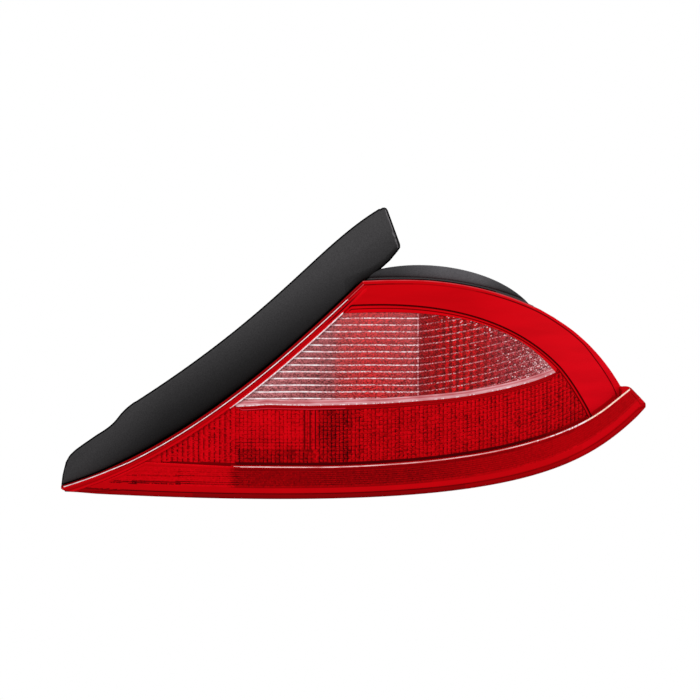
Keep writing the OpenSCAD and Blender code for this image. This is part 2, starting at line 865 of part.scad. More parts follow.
// A bulb's glass: a round bulb on a neck that sits in the metal cap
module glass(p) {
    r = glass_dia / 2;
    neck = cap_dia / 2 - 0.5;
    wall = 0.9;
    difference() {
        glass_form(p, r, neck, cap_base - 4);
        glass_form(p, r - wall, neck - wall, cap_base - 4 - wall);
    }
}

module glass_form(p, r, neck, base) {
    ball_y = glass_tip + glass_dia / 2;
    translate([p.x, ball_y, p.y]) sphere(r = r, $fn = 48);
    rod(p, neck, cap_front, base);
    translate([p.x, cap_front, p.y]) rotate([90, 0, 0])
        cylinder(r1 = neck, r2 = r * 0.96, h = cap_front - ball_y - r * 0.28);
}

module bulb_cap(p) {
    difference() {
        union() {
            rod(p, cap_dia / 2, cap_front, cap_base);
            translate([p.x, cap_base - 8, p.y]) rotate([0, 90, 0])
                cylinder(r = bayonet_r, h = cap_dia + 1.8, center = true, $fn = 24);
        }
        rod(p, cap_dia / 2 - 0.5, cap_front - 1, cap_base - 4);
        rod(p, cap_dia / 2 - 2, cap_base - 2, cap_base + 1);
    }
}

module turn_bulb_glass() {
    color([0.95, 0.55, 0.1]) glass(turn_at);
}

module turn_bulb_cap() {
    color([0.76, 0.74, 0.66]) bulb_cap(turn_at);
}

module reverse_bulb_glass() {
    color([0.9, 0.93, 0.95]) glass(reverse_at);
}

module reverse_bulb_cap() {
    color([0.76, 0.74, 0.66]) bulb_cap(reverse_at);
}

module stop_bulb_glass() {
    color([0.9, 0.93, 0.95]) glass(stop_at);
}

module stop_bulb_cap() {
    color([0.76, 0.74, 0.66]) bulb_cap(stop_at);
}

module fog_bulb_glass() {
    color([0.9, 0.93, 0.95]) glass(fog_at);
}

module fog_bulb_cap() {
    color([0.76, 0.74, 0.66]) bulb_cap(fog_at);
}

module cap_insulators() {
    color([0.05, 0.05, 0.07]) for (p = bulb_places)
        rod(p, cap_dia / 2 - 2, cap_base - 2, cap_base + insulator_t);
}

module bulb_contacts() {
    color([0.6, 0.6, 0.6]) for (s = strip_ends())
        rod(s[0], pip_r, cap_base + insulator_t, carrier_front);
}

module filaments() {
    color([0.45, 0.45, 0.47]) for (p = bulb_places) {
        coil_y = glass_tip + glass_dia / 2 + 2;
        translate([p.x, coil_y, p.y]) rotate([0, 90, 0]) cylinder(r = 0.7, h = 9, center = true, $fn = 16);
        for (sx = [-1, 1]) rod(p + [sx * 4, 0], 0.4, coil_y, cap_base - 4.9);
    }
}

red_lens();
clear_window();
reflex_strip();
lens_sealant();
lamp_housing();
reflector();
reflector_screws();
corner_trim();
trim_clips();
body_gasket();
breather_caps();
mounting_studs();
bulb_carrier();
carrier_seal();
carrier_screws();
bulb_sockets();
earth_strip();
live_strips();
connector_pins();
turn_bulb_glass();
turn_bulb_cap();
reverse_bulb_glass();
reverse_bulb_cap();
stop_bulb_glass();
stop_bulb_cap();
fog_bulb_glass();
fog_bulb_cap();
cap_insulators();
bulb_contacts();
filaments();
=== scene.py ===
"""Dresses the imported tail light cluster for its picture.

Sizes are in millimetres in the row frame and become metres where a mesh is
made: X runs along the lamp, Z is up and the lens faces -Y.
"""

import bmesh
import bpy
import numpy as np
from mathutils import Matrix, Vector


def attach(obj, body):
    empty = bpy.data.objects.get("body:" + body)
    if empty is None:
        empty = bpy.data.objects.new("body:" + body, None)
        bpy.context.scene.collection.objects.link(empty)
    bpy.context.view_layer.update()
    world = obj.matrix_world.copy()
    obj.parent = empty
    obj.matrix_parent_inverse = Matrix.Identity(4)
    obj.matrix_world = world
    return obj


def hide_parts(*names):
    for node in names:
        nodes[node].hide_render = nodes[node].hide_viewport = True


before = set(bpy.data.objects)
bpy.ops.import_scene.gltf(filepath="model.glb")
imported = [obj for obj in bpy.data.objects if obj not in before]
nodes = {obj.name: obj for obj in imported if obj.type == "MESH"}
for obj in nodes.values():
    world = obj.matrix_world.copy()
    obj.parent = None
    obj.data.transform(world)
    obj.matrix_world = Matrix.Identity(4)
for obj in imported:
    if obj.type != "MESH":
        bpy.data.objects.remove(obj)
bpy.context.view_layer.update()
rng = np.random.default_rng(7)
MM = 0.001

# Sizes of the lens, as the CAD has them
LENS_LEN, LENS_H, LAMP_DEPTH = 467.0, 176.5, 104.0
FACE_R, CROWN_SHIFT = 620.0, 25.0
STUD_SHIFT, STUD_RISE = 55.4, 71.0
SKIRT_D, RECESS_D, LIP_OUT = 14.0, 1.0, 12.0
FACE_C = np.array([CROWN_SHIFT - STUD_SHIFT, FACE_R - LAMP_DEPTH, LENS_H / 2 - STUD_RISE])

# The photograph: millimetres a pixel, and the point that its middle shows
PX_MM = 0.8
PHOTO_PX = 700
PHOTO_MID = (-58.0, 48.0)

# Mesh columns stand this far apart along the lens
COLUMN = 1.06
ROW = 0.8


def px(x):
    """The row X of a pixel column of the photograph."""
    return (x - PHOTO_PX / 2) * PX_MM + PHOTO_MID[0]


def pz(y):
    """The row Z of a pixel row of the photograph."""
    return (PHOTO_PX / 2 - y) * PX_MM + PHOTO_MID[1]


def at(u, v):
    """A place on the lens, from its left tip to its right and from its foot to its top."""
    return u * LENS_LEN - STUD_SHIFT, v * LENS_H - STUD_RISE


def bezier(controls, n=160):
    p = np.array(controls)
    t = np.linspace(0, 1, n)[:, None]
    return (1 - t) ** 3 * p[0] + 3 * t * (1 - t) ** 2 * p[1] + 3 * t * t * (1 - t) * p[2] + t**3 * p[3]


class Line:
    """Points read as height over x, and straight on beyond both ends."""

    def __init__(self, points):
        p = np.asarray(points, float)
        head, tail = p[0] - (p[1] - p[0]) * 400, p[-1] + (p[-1] - p[-2]) * 400
        self.points = p
        self.x, self.z = np.vstack([head, p, tail]).T

    def __call__(self, x):
        return np.interp(x, self.x, self.z)

    def stretch(self, x):
        """How much longer a step along the line is than its step in x."""
        return np.sqrt(1 + (self(x + 0.5) - self(x - 0.5)) ** 2)

    def inset(self, x, w):
        return self(x) - w * self.stretch(x)


def curve(*uv):
    return Line(bezier([at(*c) for c in uv]))


def seen(*points):
    """Points of the photograph, in the row frame."""
    return np.array([(px(x), pz(y)) for x, y in points])


def lifted(line, lift):
    """A line moved up by as much as lift holds for each row X."""
    x, z = line.points.T
    return Line(np.stack([x, z + np.interp(x, *lift)], 1))


# How far the photograph's lines run above the CAD's, along the lens
SLANT_LIFT = ([px(62), px(100)], [-0.3, -0.82])
TOP_LIFT = ([px(v) for v in (366, 398, 428, 500, 524, 536, 560, 572)], [-1.35, -1.5, -1.15, -1.05, -0.9, -0.6, -0.55, -0.25])
LIP_LIFT = (
    [px(v) for v in (236, 264, 292, 334, 362, 390, 460, 502, 530, 558, 586, 600, 614, 622, 630)],
    [0, 0.64, 1.0, 1.24, 1.56, 1.87, 2.0, 1.69, 1.44, 0.94, 0.9, 1.05, 1.55, 1.2, 0],
)
SILL_LIFT = (
    [px(v) for v in (254, 268, 290, 310, 338, 366, 394, 422, 450, 492, 520, 534, 548)],
    [0, 0.5, -0.3, -0.7, -0.3, 0.2, 0.8, 1.25, 1.0, 0.7, -0.15, -0.8, -1.0],
)
PANEL_LIFT = ([px(v) for v in (560, 569, 580, 592)], [0, -0.95, -2.3, -3.0])
FOOT_LIFT = ([px(v) for v in (60, 70, 80, 95)], [0.75, 0.72, 0.42, 0])

slant = lifted(curve((-0.5, 0.061), (-0.296, 0.233), (-0.136, 0.605), (0.015, 0.988)), SLANT_LIFT)
top = lifted(curve((0.018, 0.993), (0.187, 1.027), (0.372, 0.922), (0.46, 0.4965)), TOP_LIFT)
low = lifted(curve((-0.496, 0.029), (0.278, -0.073), (0.388, 0.123), (0.4995, 0.411)), FOOT_LIFT)
panel = lifted(curve((-0.004, 0.878), (0.161, 0.902), (0.327, 0.819), (0.407, 0.397)), PANEL_LIFT)
window_top = curve((-0.019, 0.84), (0.106, 0.851), (0.252, 0.861), (0.341, 0.586))
window_low = lifted(curve((-0.209, 0.416), (-0.028, 0.452), (0.17, 0.37), (0.342, 0.575)), SILL_LIFT)
window_slant = curve((-0.212, 0.42), (-0.165, 0.482), (-0.06, 0.749), (-0.019, 0.84))
lip_curve = lifted(curve((-0.336, 0.167), (-0.11, 0.139), (0.308, 0.057), (0.471, 0.498)), LIP_LIFT)
brow_line = curve((-0.02, 0.9608), (0.0606, 1.1384), (0.2962, 1.0695), (0.3244, 0.7621))

# The lip's right end and the round left tip, read from the photograph
END_CORNERS = seen((620.3, 386.5), (622, 386.1), (625, 386.0), (627.5, 386.4), (630, 387.7), (639, 396.9), (644.6, 402.9), (645.5, 405.5))
TIP_CORNERS = seen((59.8, 486), (60.3, 488.4), (61.6, 489.8), (63.8, 490.8), (67, 491.3))
END_FOOT = seen((641, 411.2), (643.5, 408.5), (645.2, 406.4), (646.05, 405))
lip_end, tip, foot_end = Line(END_CORNERS), Line(TIP_CORNERS), Line(END_FOOT)
lip_line = Line(np.vstack([lip_curve.points, END_CORNERS[4:]]))


# Faces of the lens

LIP_START, LIP_STOP = at(-0.212, 0)[0], at(0.5, 0)[0]


def face_slope(x):
    return (x - FACE_C[0]) / np.sqrt(FACE_R**2 - (x - FACE_C[0]) ** 2)


LIP_DX = LIP_OUT / (face_slope(LIP_STOP) - face_slope(LIP_START))
LIP_DY = LIP_DX * face_slope(LIP_START)


def face_y(x, z, d):
    return FACE_C[1] - np.sqrt((FACE_R - d) ** 2 - (x - FACE_C[0]) ** 2 - (z - FACE_C[2]) ** 2)


def lip_y(x, z, d):
    """The lip's face stands out of the lens's face from LIP_START on."""
    ball = FACE_C[1] + LIP_DY - np.sqrt((FACE_R - d) ** 2 - (x - FACE_C[0] - LIP_DX) ** 2 - (z - FACE_C[2]) ** 2)
    return np.minimum(face_y(x, z, d), ball)


# Meshes


def make_piece(name, verts, faces, levels, mats, sharp=40):
    mesh = bpy.data.meshes.new(name)
    mesh.from_pydata(verts, [], faces)
    for m in mats:
        mesh.materials.append(m)
    mesh.polygons.foreach_set("material_index", levels)
    bm = bmesh.new()
    bm.from_mesh(mesh)
    bmesh.ops.remove_doubles(bm, verts=bm.verts, dist=1e-6)
    bmesh.ops.dissolve_degenerate(bm, edges=bm.edges, dist=1e-6)
    bm.to_mesh(mesh)
    bm.free()
    mesh.shade_smooth()
    mesh.set_sharp_from_angle(angle=np.radians(sharp))
    piece = bpy.data.objects.new(name, mesh)
    bpy.context.scene.collection.objects.link(piece)
    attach(piece, "root")
    return piece


def grid_piece(name, x, y, z, levels, mats, sharp=40):
    """A sheet of quads from a grid of points, its columns left to right and rows top to bottom."""
    n, m = z.shape
    x = np.broadcast_to(x, z.shape)
    verts = np.stack([x, y, z], -1).reshape(-1, 3) * MM
    i = np.arange(n * m).reshape(n, m)
    quads = np.stack([i[:-1, :-1], i[:-1, 1:], i[1:, 1:], i[1:, :-1]], -1).reshape(-1, 4)
    drop = np.linalg.norm(verts[quads[:, 0]] - verts[quads[:, 1]], axis=1)
    drop += np.linalg.norm(verts[quads[:, 2]] - verts[quads[:, 3]], axis=1)
    keep = drop > 2e-6
    levels = np.asarray(levels).reshape(-1)[keep]
    return make_piece(name, verts.tolist(), quads[keep].tolist(), levels, mats, sharp)


def centres(a):
    return (a[:-1, :-1] + a[1:, :-1] + a[:-1, 1:] + a[1:, 1:]) / 4


def distance_to(points, x, z):
    """The shortest way from each place to a line through points."""
    best = np.full(x.shape, 1e9)
    for (ax, az), (bx, bz) in zip(points[:-1], points[1:]):
        dx, dz = bx - ax, bz - az
        t = np.clip(((x - ax) * dx + (z - az) * dz) / (dx * dx + dz * dz + 1e-12), 0, 1)
        best = np.minimum(best, np.hypot(x - ax - t * dx, z - az - t * dz))
    return best


# Materials


def linear(rgb):
    c = np.array(rgb) / 255
    return (*np.where(c <= 0.04045, c / 12.92, ((c + 0.055) / 1.055) ** 2.4), 1.0)


class Shader:
    """A node tree with a Principled shader, and short calls for the nodes used here."""

    def __init__(self, name, **sockets):
        self.material = bpy.data.materials.new(name)
        self.material.use_nodes = True
        self.tree = self.material.node_tree
        self.principled = self.tree.nodes["Principled BSDF"]
        for key, value in sockets.items():
            self.principled.inputs[key.replace("_", " ").title().replace("Ior", "IOR")].default_value = value
        self.place = self.add("ShaderNodeTexCoord").outputs["Object"]

    def add(self, kind, inputs=(), **settings):
        node = self.tree.nodes.new(kind)
        for key, value in settings.items():
            setattr(node, key, value)
        for key, value in dict(inputs).items():
            if isinstance(value, bpy.types.NodeSocket):
                self.tree.links.new(value, node.inputs[key])
            else:
                node.inputs[key].default_value = value
        return node

    def noise(self, scale, detail=3.0, stretch=(1, 1, 1)):
        spread = self.add("ShaderNodeMapping", {"Vector": self.place, "Scale": stretch}).outputs["Vector"]
        return self.add("ShaderNodeTexNoise", {"Vector": spread, "Scale": scale, "Detail": detail}).outputs["Fac"]

    def ramp(self, factor, stops):
        node = self.add("ShaderNodeValToRGB", {"Fac": factor})
        elements = node.color_ramp.elements
        while len(elements) < len(stops):
            elements.new(0.5)
        for element, (place, rgb) in zip(elements, stops):
            element.position = place
            element.color = linear(rgb)
        return node.outputs["Color"]

    def mix(self, factor, a, b, blend="MIX"):
        node = self.add("ShaderNodeMix", {0: factor, 6: a, 7: b}, data_type="RGBA", blend_type=blend)
        return node.outputs[2]

    def along(self, left, right):
        """How far a point lies from one row X to another, from 0 to 1."""
        x = self.add("ShaderNodeSeparateXYZ", {"Vector": self.place}).outputs["X"]
        return self.span(x, left * MM, right * MM)

    def upward(self, px_low, px_high):
        """How far a point lies from one photograph row up to another, from 0 to 1."""
        z = self.add("ShaderNodeSeparateXYZ", {"Vector": self.place}).outputs["Z"]
        return self.span(z, pz(px_low) * MM, pz(px_high) * MM)

    def span(self, value, low, high, to_low=0.0, to_high=1.0):
        sockets = {"Value": value, "From Min": low, "From Max": high, "To Min": to_low, "To Max": to_high}
        return self.add("ShaderNodeMapRange", sockets).outputs["Result"]

    def bump(self, height, strength, distance):
        sockets = {"Height": height, "Strength": strength, "Distance": distance * MM}
        self.set("Normal", self.add("ShaderNodeBump", sockets).outputs["Normal"])

    def set(self, key, socket):
        self.tree.links.new(socket, self.principled.inputs[key])


def plastic(name, dark, light, scale=60, rough=0.4, grain=900, depth=0.02, spec=0.4, coat=0.0, metal=0.0):
    """Moulded or turned stuff: cloudy colour, uneven gloss and a fine grain."""
    s = Shader(name, specular_ior_level=spec, coat_weight=coat, coat_roughness=0.08, metallic=metal)
    cloud = s.noise(scale)
    s.set("Base Color", s.ramp(cloud, [(0.3, dark), (0.7, light)]))
    s.set("Roughness", s.span(cloud, 0.3, 0.7, rough * 0.85, rough * 1.15))
    s.bump(s.noise(grain, 2), 0.5, depth)
    return s.material


# Reds of the lens from the brightest to the darkest in half steps, then its painted highlight lines and its plain
# frame red
RED_TONES = [(212, 3, 17), (196, 3, 12), (168, 2, 8), (134, 2, 6), (98, 1, 5), (58, 1, 4), (22, 0, 2)]
half_tones = np.arange(0, len(RED_TONES) - 0.5, 0.5)
red_shades = np.array([np.interp(half_tones, range(len(RED_TONES)), c) for c in zip(*RED_TONES)]).T
LENS_SPEC = 0.01
reds = [
    plastic(f"lens_red_{k}", 0.95 * rgb, rgb, 25, 0.28, 700, 0.006, LENS_SPEC)
    for k, rgb in enumerate(red_shades)
]
GLINT, LIP_END_PAINTED_HIGHLIGHT, PAINTED_EDGE_HIGHLIGHT, SILL_PAINTED_HIGHLIGHT, CREST_PAINTED_HIGHLIGHT, FRAME = range(len(reds), len(reds) + 6)


def shade(tone):
    """The index of the red nearest to a tone, 0 the brightest and 6 the darkest."""
    return np.clip(np.round(2 * tone), 0, len(reds) - 1).astype(int)


def frame_material():
    """Plain red that brightens to the right, with faint long streaks."""
    s = Shader("lens_frame_red", specular_ior_level=LENS_SPEC, roughness=0.28)
    along = s.along(px(355), px(620))
    ground = s.ramp(along, [(0.0, (188, 3, 11)), (0.4, (194, 3, 13)), (0.75, (206, 3, 17)), (1.0, (213, 3, 20))])
    streaks = s.ramp(s.noise(60, 4, (0.25, 1, 1.6)), [(0.35, (243, 243, 243)), (0.6, (255, 255, 255))])
    s.set("Base Color", s.mix(1.0, ground, streaks, "MULTIPLY"))
    s.bump(s.noise(700, 2), 0.5, 0.006)
    return s.material


lens_mats = reds + [
    plastic("lens_edge_painted_highlight", (222, 188, 194), (250, 240, 242), 160, 0.25, 700, 0.006, 0.3),
    plastic("lens_lip_painted_highlight", (228, 174, 148), (250, 228, 214), 500, 0.25, 700, 0.006, 0.3),
    plastic("lens_top_edge_painted_highlight", (176, 30, 38), (198, 64, 70), 60, 0.3, 700, 0.006, 0.1),
    plastic("lens_sill_painted_highlight", (204, 24, 46), (222, 44, 66), 60, 0.3, 700, 0.006, 0.1),
    plastic("lens_crest_painted_highlight", (206, 116, 116), (244, 206, 206), 90, 0.25, 700, 0.006, 0.2),
    frame_material(),
]

# Shared columns of the lens and the lines that part its zones

left, right = px(60.6), at(0.4994, 0)[0]
col_x = np.linspace(left, right, int(round((right - left) / COLUMN)) + 1)
X = col_x[:, None]

SLANT_BORDER = 7.5
WINDOW_SPAN = (px(235.7), px(555))
HATCH_START = px(160)


def outline_z(x, w):
    return np.minimum(slant.inset(x, w), top.inset(x, w))


bottom_z = np.max([low(col_x), tip(col_x), foot_end(col_x)], 0)
lip_top_z = np.where(col_x < lip_curve.points[0, 0], np.minimum(lip_line(col_x), slant.inset(col_x, SLANT_BORDER)), lip_line(col_x))
lip_top_z = np.maximum(lip_top_z, bottom_z)
past_lens = col_x > END_CORNERS[0, 0]
edge_z = np.maximum(outline_z(col_x, 0), np.where(past_lens, lip_end(col_x), lip_top_z))
edge_z = np.maximum(edge_z, lip_top_z)
frame_z = np.maximum(np.minimum(slant.inset(col_x, SLANT_BORDER), panel(col_x)), lip_top_z)

in_window = (col_x > WINDOW_SPAN[0]) & (col_x < WINDOW_SPAN[1])
past_window = col_x >= WINDOW_SPAN[1]
band_low_z = np.where(past_window, panel.inset(col_x, 3.4), frame_z)
win_top_z = np.where(in_window, np.minimum(window_slant(col_x), window_top(col_x)), band_low_z)
win_top_z = np.clip(win_top_z, lip_top_z, frame_z)
win_low_z = np.clip(np.where(in_window, window_low(col_x), win_top_z), lip_top_z, win_top_z)
SILL = 3.7
sill_grow = np.clip((col_x - WINDOW_SPAN[0]) / 6, 0, 1) * np.clip((WINDOW_SPAN[1] + 4 - col_x) / 8, 0, 1)
sill_z = np.maximum(win_low_z - SILL * sill_grow, lip_top_z)


def with_caps(x, y, z, levels, cap_level, skirt):
    """Adds a column at each end that runs back to the skirt, and closes the tip."""
    y = np.vstack([skirt(x[:1], z[:1]), y, skirt(x[-1:], z[-1:])])
    z = np.vstack([z[:1], z, z[-1:]])
    x = np.vstack([x[:1], x, x[-1:]])
    wall = np.full((1, levels.shape[1]), cap_level)
    return x, y, z, np.vstack([wall, levels, wall])


def skirt_y(x, z):
    return face_y(x, z, SKIRT_D)


# Plain frame: the bead along the slanted edge, and a line near the outer edge

BEAD_INSETS = [0, 0.25, 0.7, 1.2, 1.7, 2.1, 2.4, 2.75, 3.0, 3.6, 4.9, 5.2, 5.5, 5.8, 6.1, 7.0]
BEAD_SLIP = [0, 0, 0.3, 0.6, 0.9, 1, 1, 1, 1, 0.6, 0, 0, 0, 0, 0, 0]
EDGE_INSETS = [0, 0.25, 0.5, 0.8, 1.1, 1.4]
LINE_INSETS = [-0.8, -0.5, -0.2, 0.2, 0.5, 0.8, 1.2, 1.7, 2.6, 3.8]
BEAD_SHAPE = ([0, 0.3, 0.7, 2.1, 2.4, 2.7, 3.0, 3.5, 4.9, 5.5, 6.1], [0.9, 0.5, 0.25, 0.1, -0.5, -0.8, -0.5, 0.1, 0.15, 0.5, 0.1])
EDGE_SHAPE = ([0, 0.3, 0.7, 1.3], [0.4, 0.2, 0.1, 0])
ABOVE_LIP = [3.3, 2.0, 0.9, 0.0]
corner_x = slant.points[-1, 0] + 3


def line_slip(x):
    """How much nearer the outer edge the light line runs at the left tip."""
    return np.interp(x, [px(v) for v in (88, 109, 130)], [0.95, 0.75, 0])


def outer_line(x):
    """How far the thin dark line runs from the lens's outer edge."""
    return np.interp(x, [px(v) for v in (370, 480, 545, 583, 595, 611, 618)], [3.3, 3.0, 2.4, 2.8, 4.3, 5.5, 6.8])


def insets_from_edge(x, z):
    return (slant(x) - z) / slant.stretch(x), (top(x) - z) / top.stretch(x)


def frame_depth(x, z):
    side, over = insets_from_edge(x, z)
    groove = 0.5 * np.exp(-(((over - outer_line(x)) / 0.35) ** 2)) * (x > px(480))
    plain = np.interp(over, *EDGE_SHAPE) + groove
    return np.where(side < over, np.interp(side, *BEAD_SHAPE), plain)


def frame_level(x, z):
    side, over = insets_from_edge(x, z)
    groove = np.interp(z, [pz(326), pz(318)], [1.4, 3.9])
    slipped = side + line_slip(x)
    # By the trim the rim is darkened with painted shade, and so is the groove line inside the light line
    steps = [side < 0.25] + [slipped < v for v in (1.0, 1.5, 2.1, 3.4)] + [side < v for v in (4.9, 6.1, 7.8)]
    bead = np.select(steps, [5, 2.4, 2.8, 3.4, 2.6, 0.9, groove, 0.4], 0)
    fade = np.clip((px(363) - x) / 12, 0, 1)
    bead = np.where(side > 2.9, 0.4 + (bead - 0.4) * fade, bead)
    # The light line along the slanted bead is a painted highlight, a dimmer pink one near the top
    light = np.where(z > pz(300), PAINTED_EDGE_HIGHLIGHT, GLINT)
    bead = np.where((slipped > 2.1) & (slipped < 2.75) & (x > px(63)), light, shade(bead))
    bead = np.where(side > 7.8, FRAME, bead)
    # The thin dark line near the outer edge is a shallow groove darkened with painted shade
    line = np.abs(over - outer_line(x)) < 0.5
    strong = np.interp(x, [px(v) for v in (362, 400, 430, 470, 500)], [3.6, 2.6, 1.8, 2.0, 3.6])
    plain = np.where(line, shade(strong), FRAME)
    # The thin pink line along the top edge is a painted highlight
    plain = np.where((over < 0.7) & (x < px(535)), PAINTED_EDGE_HIGHLIGHT, plain)
    level = np.where(side < over, bead, plain)
    # Past the panel a dark band of painted shade runs along the step above the lip
    above_lip = (z - lip_line(x)) / lip_line.stretch(x)
    level = np.where((x > px(588)) & (above_lip > ABOVE_LIP[2]) & (above_lip < ABOVE_LIP[0]), shade(1.8), level)
    return np.where((z > lip_end(x) - 3.2) & (x > px(621)), shade(1.2), level)


def lens_frame():
    lines = np.array([LINE_INSETS]) + outer_line(X)
    plain = np.hstack([np.broadcast_to(EDGE_INSETS, (len(col_x), len(EDGE_INSETS))), lines])
    beads = np.array([BEAD_INSETS]) - np.array([BEAD_SLIP]) * line_slip(X)
    w = np.where(X < corner_x, beads, plain)
    insets = np.maximum(np.minimum(outline_z(X, w), edge_z[:, None]), frame_z[:, None])
    insets[past_lens, 0] = edge_z[past_lens]
    over_lip = frame_z[:, None] + np.array([ABOVE_LIP]) * lip_line.stretch(X)
    over_lip = np.minimum(over_lip, insets[:, -1:])
    share = np.linspace(0, 1, 7)[None, 1:-1]
    inner = insets[:, -1:] * (1 - share) + over_lip[:, :1] * share
    z = np.hstack([edge_z[:, None], insets, inner, over_lip, frame_z[:, None]])
    x = np.broadcast_to(X, z.shape)
    y = face_y(x, z, frame_depth(x, z))
    y = np.where(x > END_CORNERS[0, 0], lip_y(x, z, 0.8), y)
    y[:, 0] = skirt_y(x[:, 0], z[:, 0])
    y[:, -1] = face_y(x[:, -1], z[:, -1], RECESS_D + 0.6)
    levels = frame_level(centres(x), centres(z))
    levels[:, 0], levels[:, -1] = shade(3), shade(4)
    piece = grid_piece("lens_frame", *with_caps(x, y, z, levels, shade(3), skirt_y), lens_mats)
    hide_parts("red_lens")
    return piece


# Band between the frame and the window, with two grooves darkened by painted shade

GROOVE = ([0, 0.5, 1.0, 1.5], [0, 0.6, 0.6, -0.2])


def lens_band():
    second = np.interp(X, [px(352), px(542), px(575)], [3.7, 2.7, 3.1])
    offsets = np.hstack([np.broadcast_to([0, 0.5, 1.0, 1.5, 2.0], (len(col_x), 5)), second + np.array([[-0.5, -0.25, 0, 0.25, 0.5, 1.0, 2.0, 3.0]])])
    z = np.maximum(frame_z[:, None] - offsets * panel.stretch(X), win_top_z[:, None])
    z = np.hstack([z, win_top_z[:, None]])
    x = np.broadcast_to(X, z.shape)
    off = (frame_z[:, None] - z) / panel.stretch(x)
    d = RECESS_D + np.interp(off, *GROOVE) + 0.2
    d += 0.7 * np.exp(-(((off - second) / 0.4) ** 2))
    d[:, -1] = RECESS_D
    gap = (centres(np.broadcast_to(frame_z[:, None], z.shape)) - centres(z)) / panel.stretch(centres(x))
    near = np.abs(gap - centres(np.broadcast_to(second, z.shape)))
    # The grooves' dark lines are painted shade
    ruled = np.select([gap < 1.0, gap < 1.5, near < 0.3, near < 0.55], [3.8, 2.4, 3.6, 2], 0.5)
    tone = np.where(centres(x) > px(350), ruled, 0.5)
    return grid_piece("lens_band", x, face_y(x, z, d), z, shade(tone), lens_mats)


# Red panel under the window: rows and columns of pillows

TICK, GRID, CROSS_ROW = 4, 3, 4
DARK_BARS = [px(305.5), px(310.3), px(315)]
SILL_DEPTHS = [0.0, 0.2, 0.35, 0.3, 0.2, 0.4]
SILL_TONES = [1.8, 2.0, 2.6, 2.9, 0, 3.2]


def pillow_tone(x, z, col, row):
    """How dark each facet of the panel is: its zone along the lens, its lines and a little scatter. The lines are the
    optics' own pattern with painted shade added in the valleys between pillows.
    """
    zones = [px(v) for v in (160, 232, 236, 308, 313, 315.5, 319, 326, 346, 358, 398, 404, 460, 520, 590)]
    ground = np.interp(x, zones, [0.2, 0.4, 0.5, 0.4, 1.0, 0.2, 1.4, 2.2, 2.1, 1.2, 1.2, 0.9, 0.9, 0.7, 0.9])
    strength = np.interp(x, zones, [3.0, 2.8, 1.6, 1.5, 1.3, 0.3, 1.9, 2.0, 1.8, 1.6, 1.5, 1.6, 1.7, 2.1, 2.4])
    coarse = x < px(235)
    column = np.where(coarse, (col % TICK < 2) * np.where(col % TICK == 0, 1, 0.45), col % GRID == 0)
    beads = np.where(coarse, rng.random(x.shape) > 0.22, 1)
    cross = np.where(coarse, 0.25, 0.75) * (row % CROSS_ROW == 0)
    tone = ground + strength * np.maximum(column * beads, cross) + 0.6 * column * cross
    strip = (z > pz(462)) & (z < pz(449)) & (x > px(238)) & (x < px(316))
    dashes = (z > pz(449)) & (z < pz(439)) & (x > px(236)) & (x < px(318))
    tone += 1.5 * strip + 1.1 * dashes * (row % 3 == 0)
    tone += rng.normal(0, np.interp(x, [px(300), px(420)], [0.7, 0.85]), x.shape) + 0.35 * np.sin(x / 7.3) * np.sin(z / 4.1) + 0.3 * np.sin(x / 1.7)
    for bar in DARK_BARS:
        tone = np.where((np.abs(x - bar) < 0.55) & (z > pz(449)), 4.2, tone)
    return np.where(x < HATCH_START, 0.5, tone)


def lens_panel():
    height = float((sill_z - lip_top_z).max())
    steps = np.arange(int(np.ceil(height / ROW)) + 1) * ROW
    rows = np.minimum(lip_top_z[:, None] + steps[None, ::-1], sill_z[:, None])
    sill = win_low_z[:, None] + (sill_z - win_low_z)[:, None] * np.linspace(0, 1, 7)[None, :-1]
    z = np.hstack([sill, rows])
    x = np.broadcast_to(X, z.shape)
    n = sill.shape[1]
    col = np.arange(len(col_x))[:, None]
    row = np.arange(z.shape[1])[None, :] - n
    coarse = x < px(235)
    across = np.where(coarse, (col % TICK) / TICK, (col % GRID) / GRID)
    along = ((len(steps) - 1 - row) % CROSS_ROW) / CROSS_ROW
    bulge = np.sin(np.pi * across) * (0.4 + 0.6 * np.sin(np.pi * along))
    d = RECESS_D + 0.7 - 0.6 * bulge
    d[:, :n] = RECESS_D + np.array(SILL_DEPTHS)[None, :]
    xc, zc = centres(x), centres(z)
    tone = pillow_tone(xc, zc, col[:-1] + 0 * row[:, :-1], (len(steps) - 1 - row[:, :-1]) + 0 * col[:-1])
    tone[:, :n] = np.array(SILL_TONES)[None, :]
    foot = zc - centres(np.broadcast_to(lip_top_z[:, None], z.shape))
    thick = np.interp(xc, [px(v) for v in (157, 175, 234, 237)], [0.0, 1.6, 2.5, 3.1])
    foot_tone = np.interp(xc, [px(v) for v in (234, 237, 530, 560)], [3.5, 4.3, 4.3, 3.2])
    # A dark line of painted shade runs along the step above the proud lip
    tone = np.where(foot < thick, foot_tone, tone)
    tone = np.where((foot < 0.9) & (xc > px(231)), 1.2, tone)
    levels = shade(np.clip(tone, 0, 5.4))
    # The pink streak under the window's foot is a painted highlight, at the left only
    sill_light = np.where(xc[:, 0] < px(345), SILL_PAINTED_HIGHLIGHT, shade(1.4))
    levels[:, SILL_TONES.index(0)] = sill_light
    return grid_piece("lens_panel", x, face_y(x, z, d), z, levels, lens_mats, 60)


# Lip: a proud band along the foot of the lens

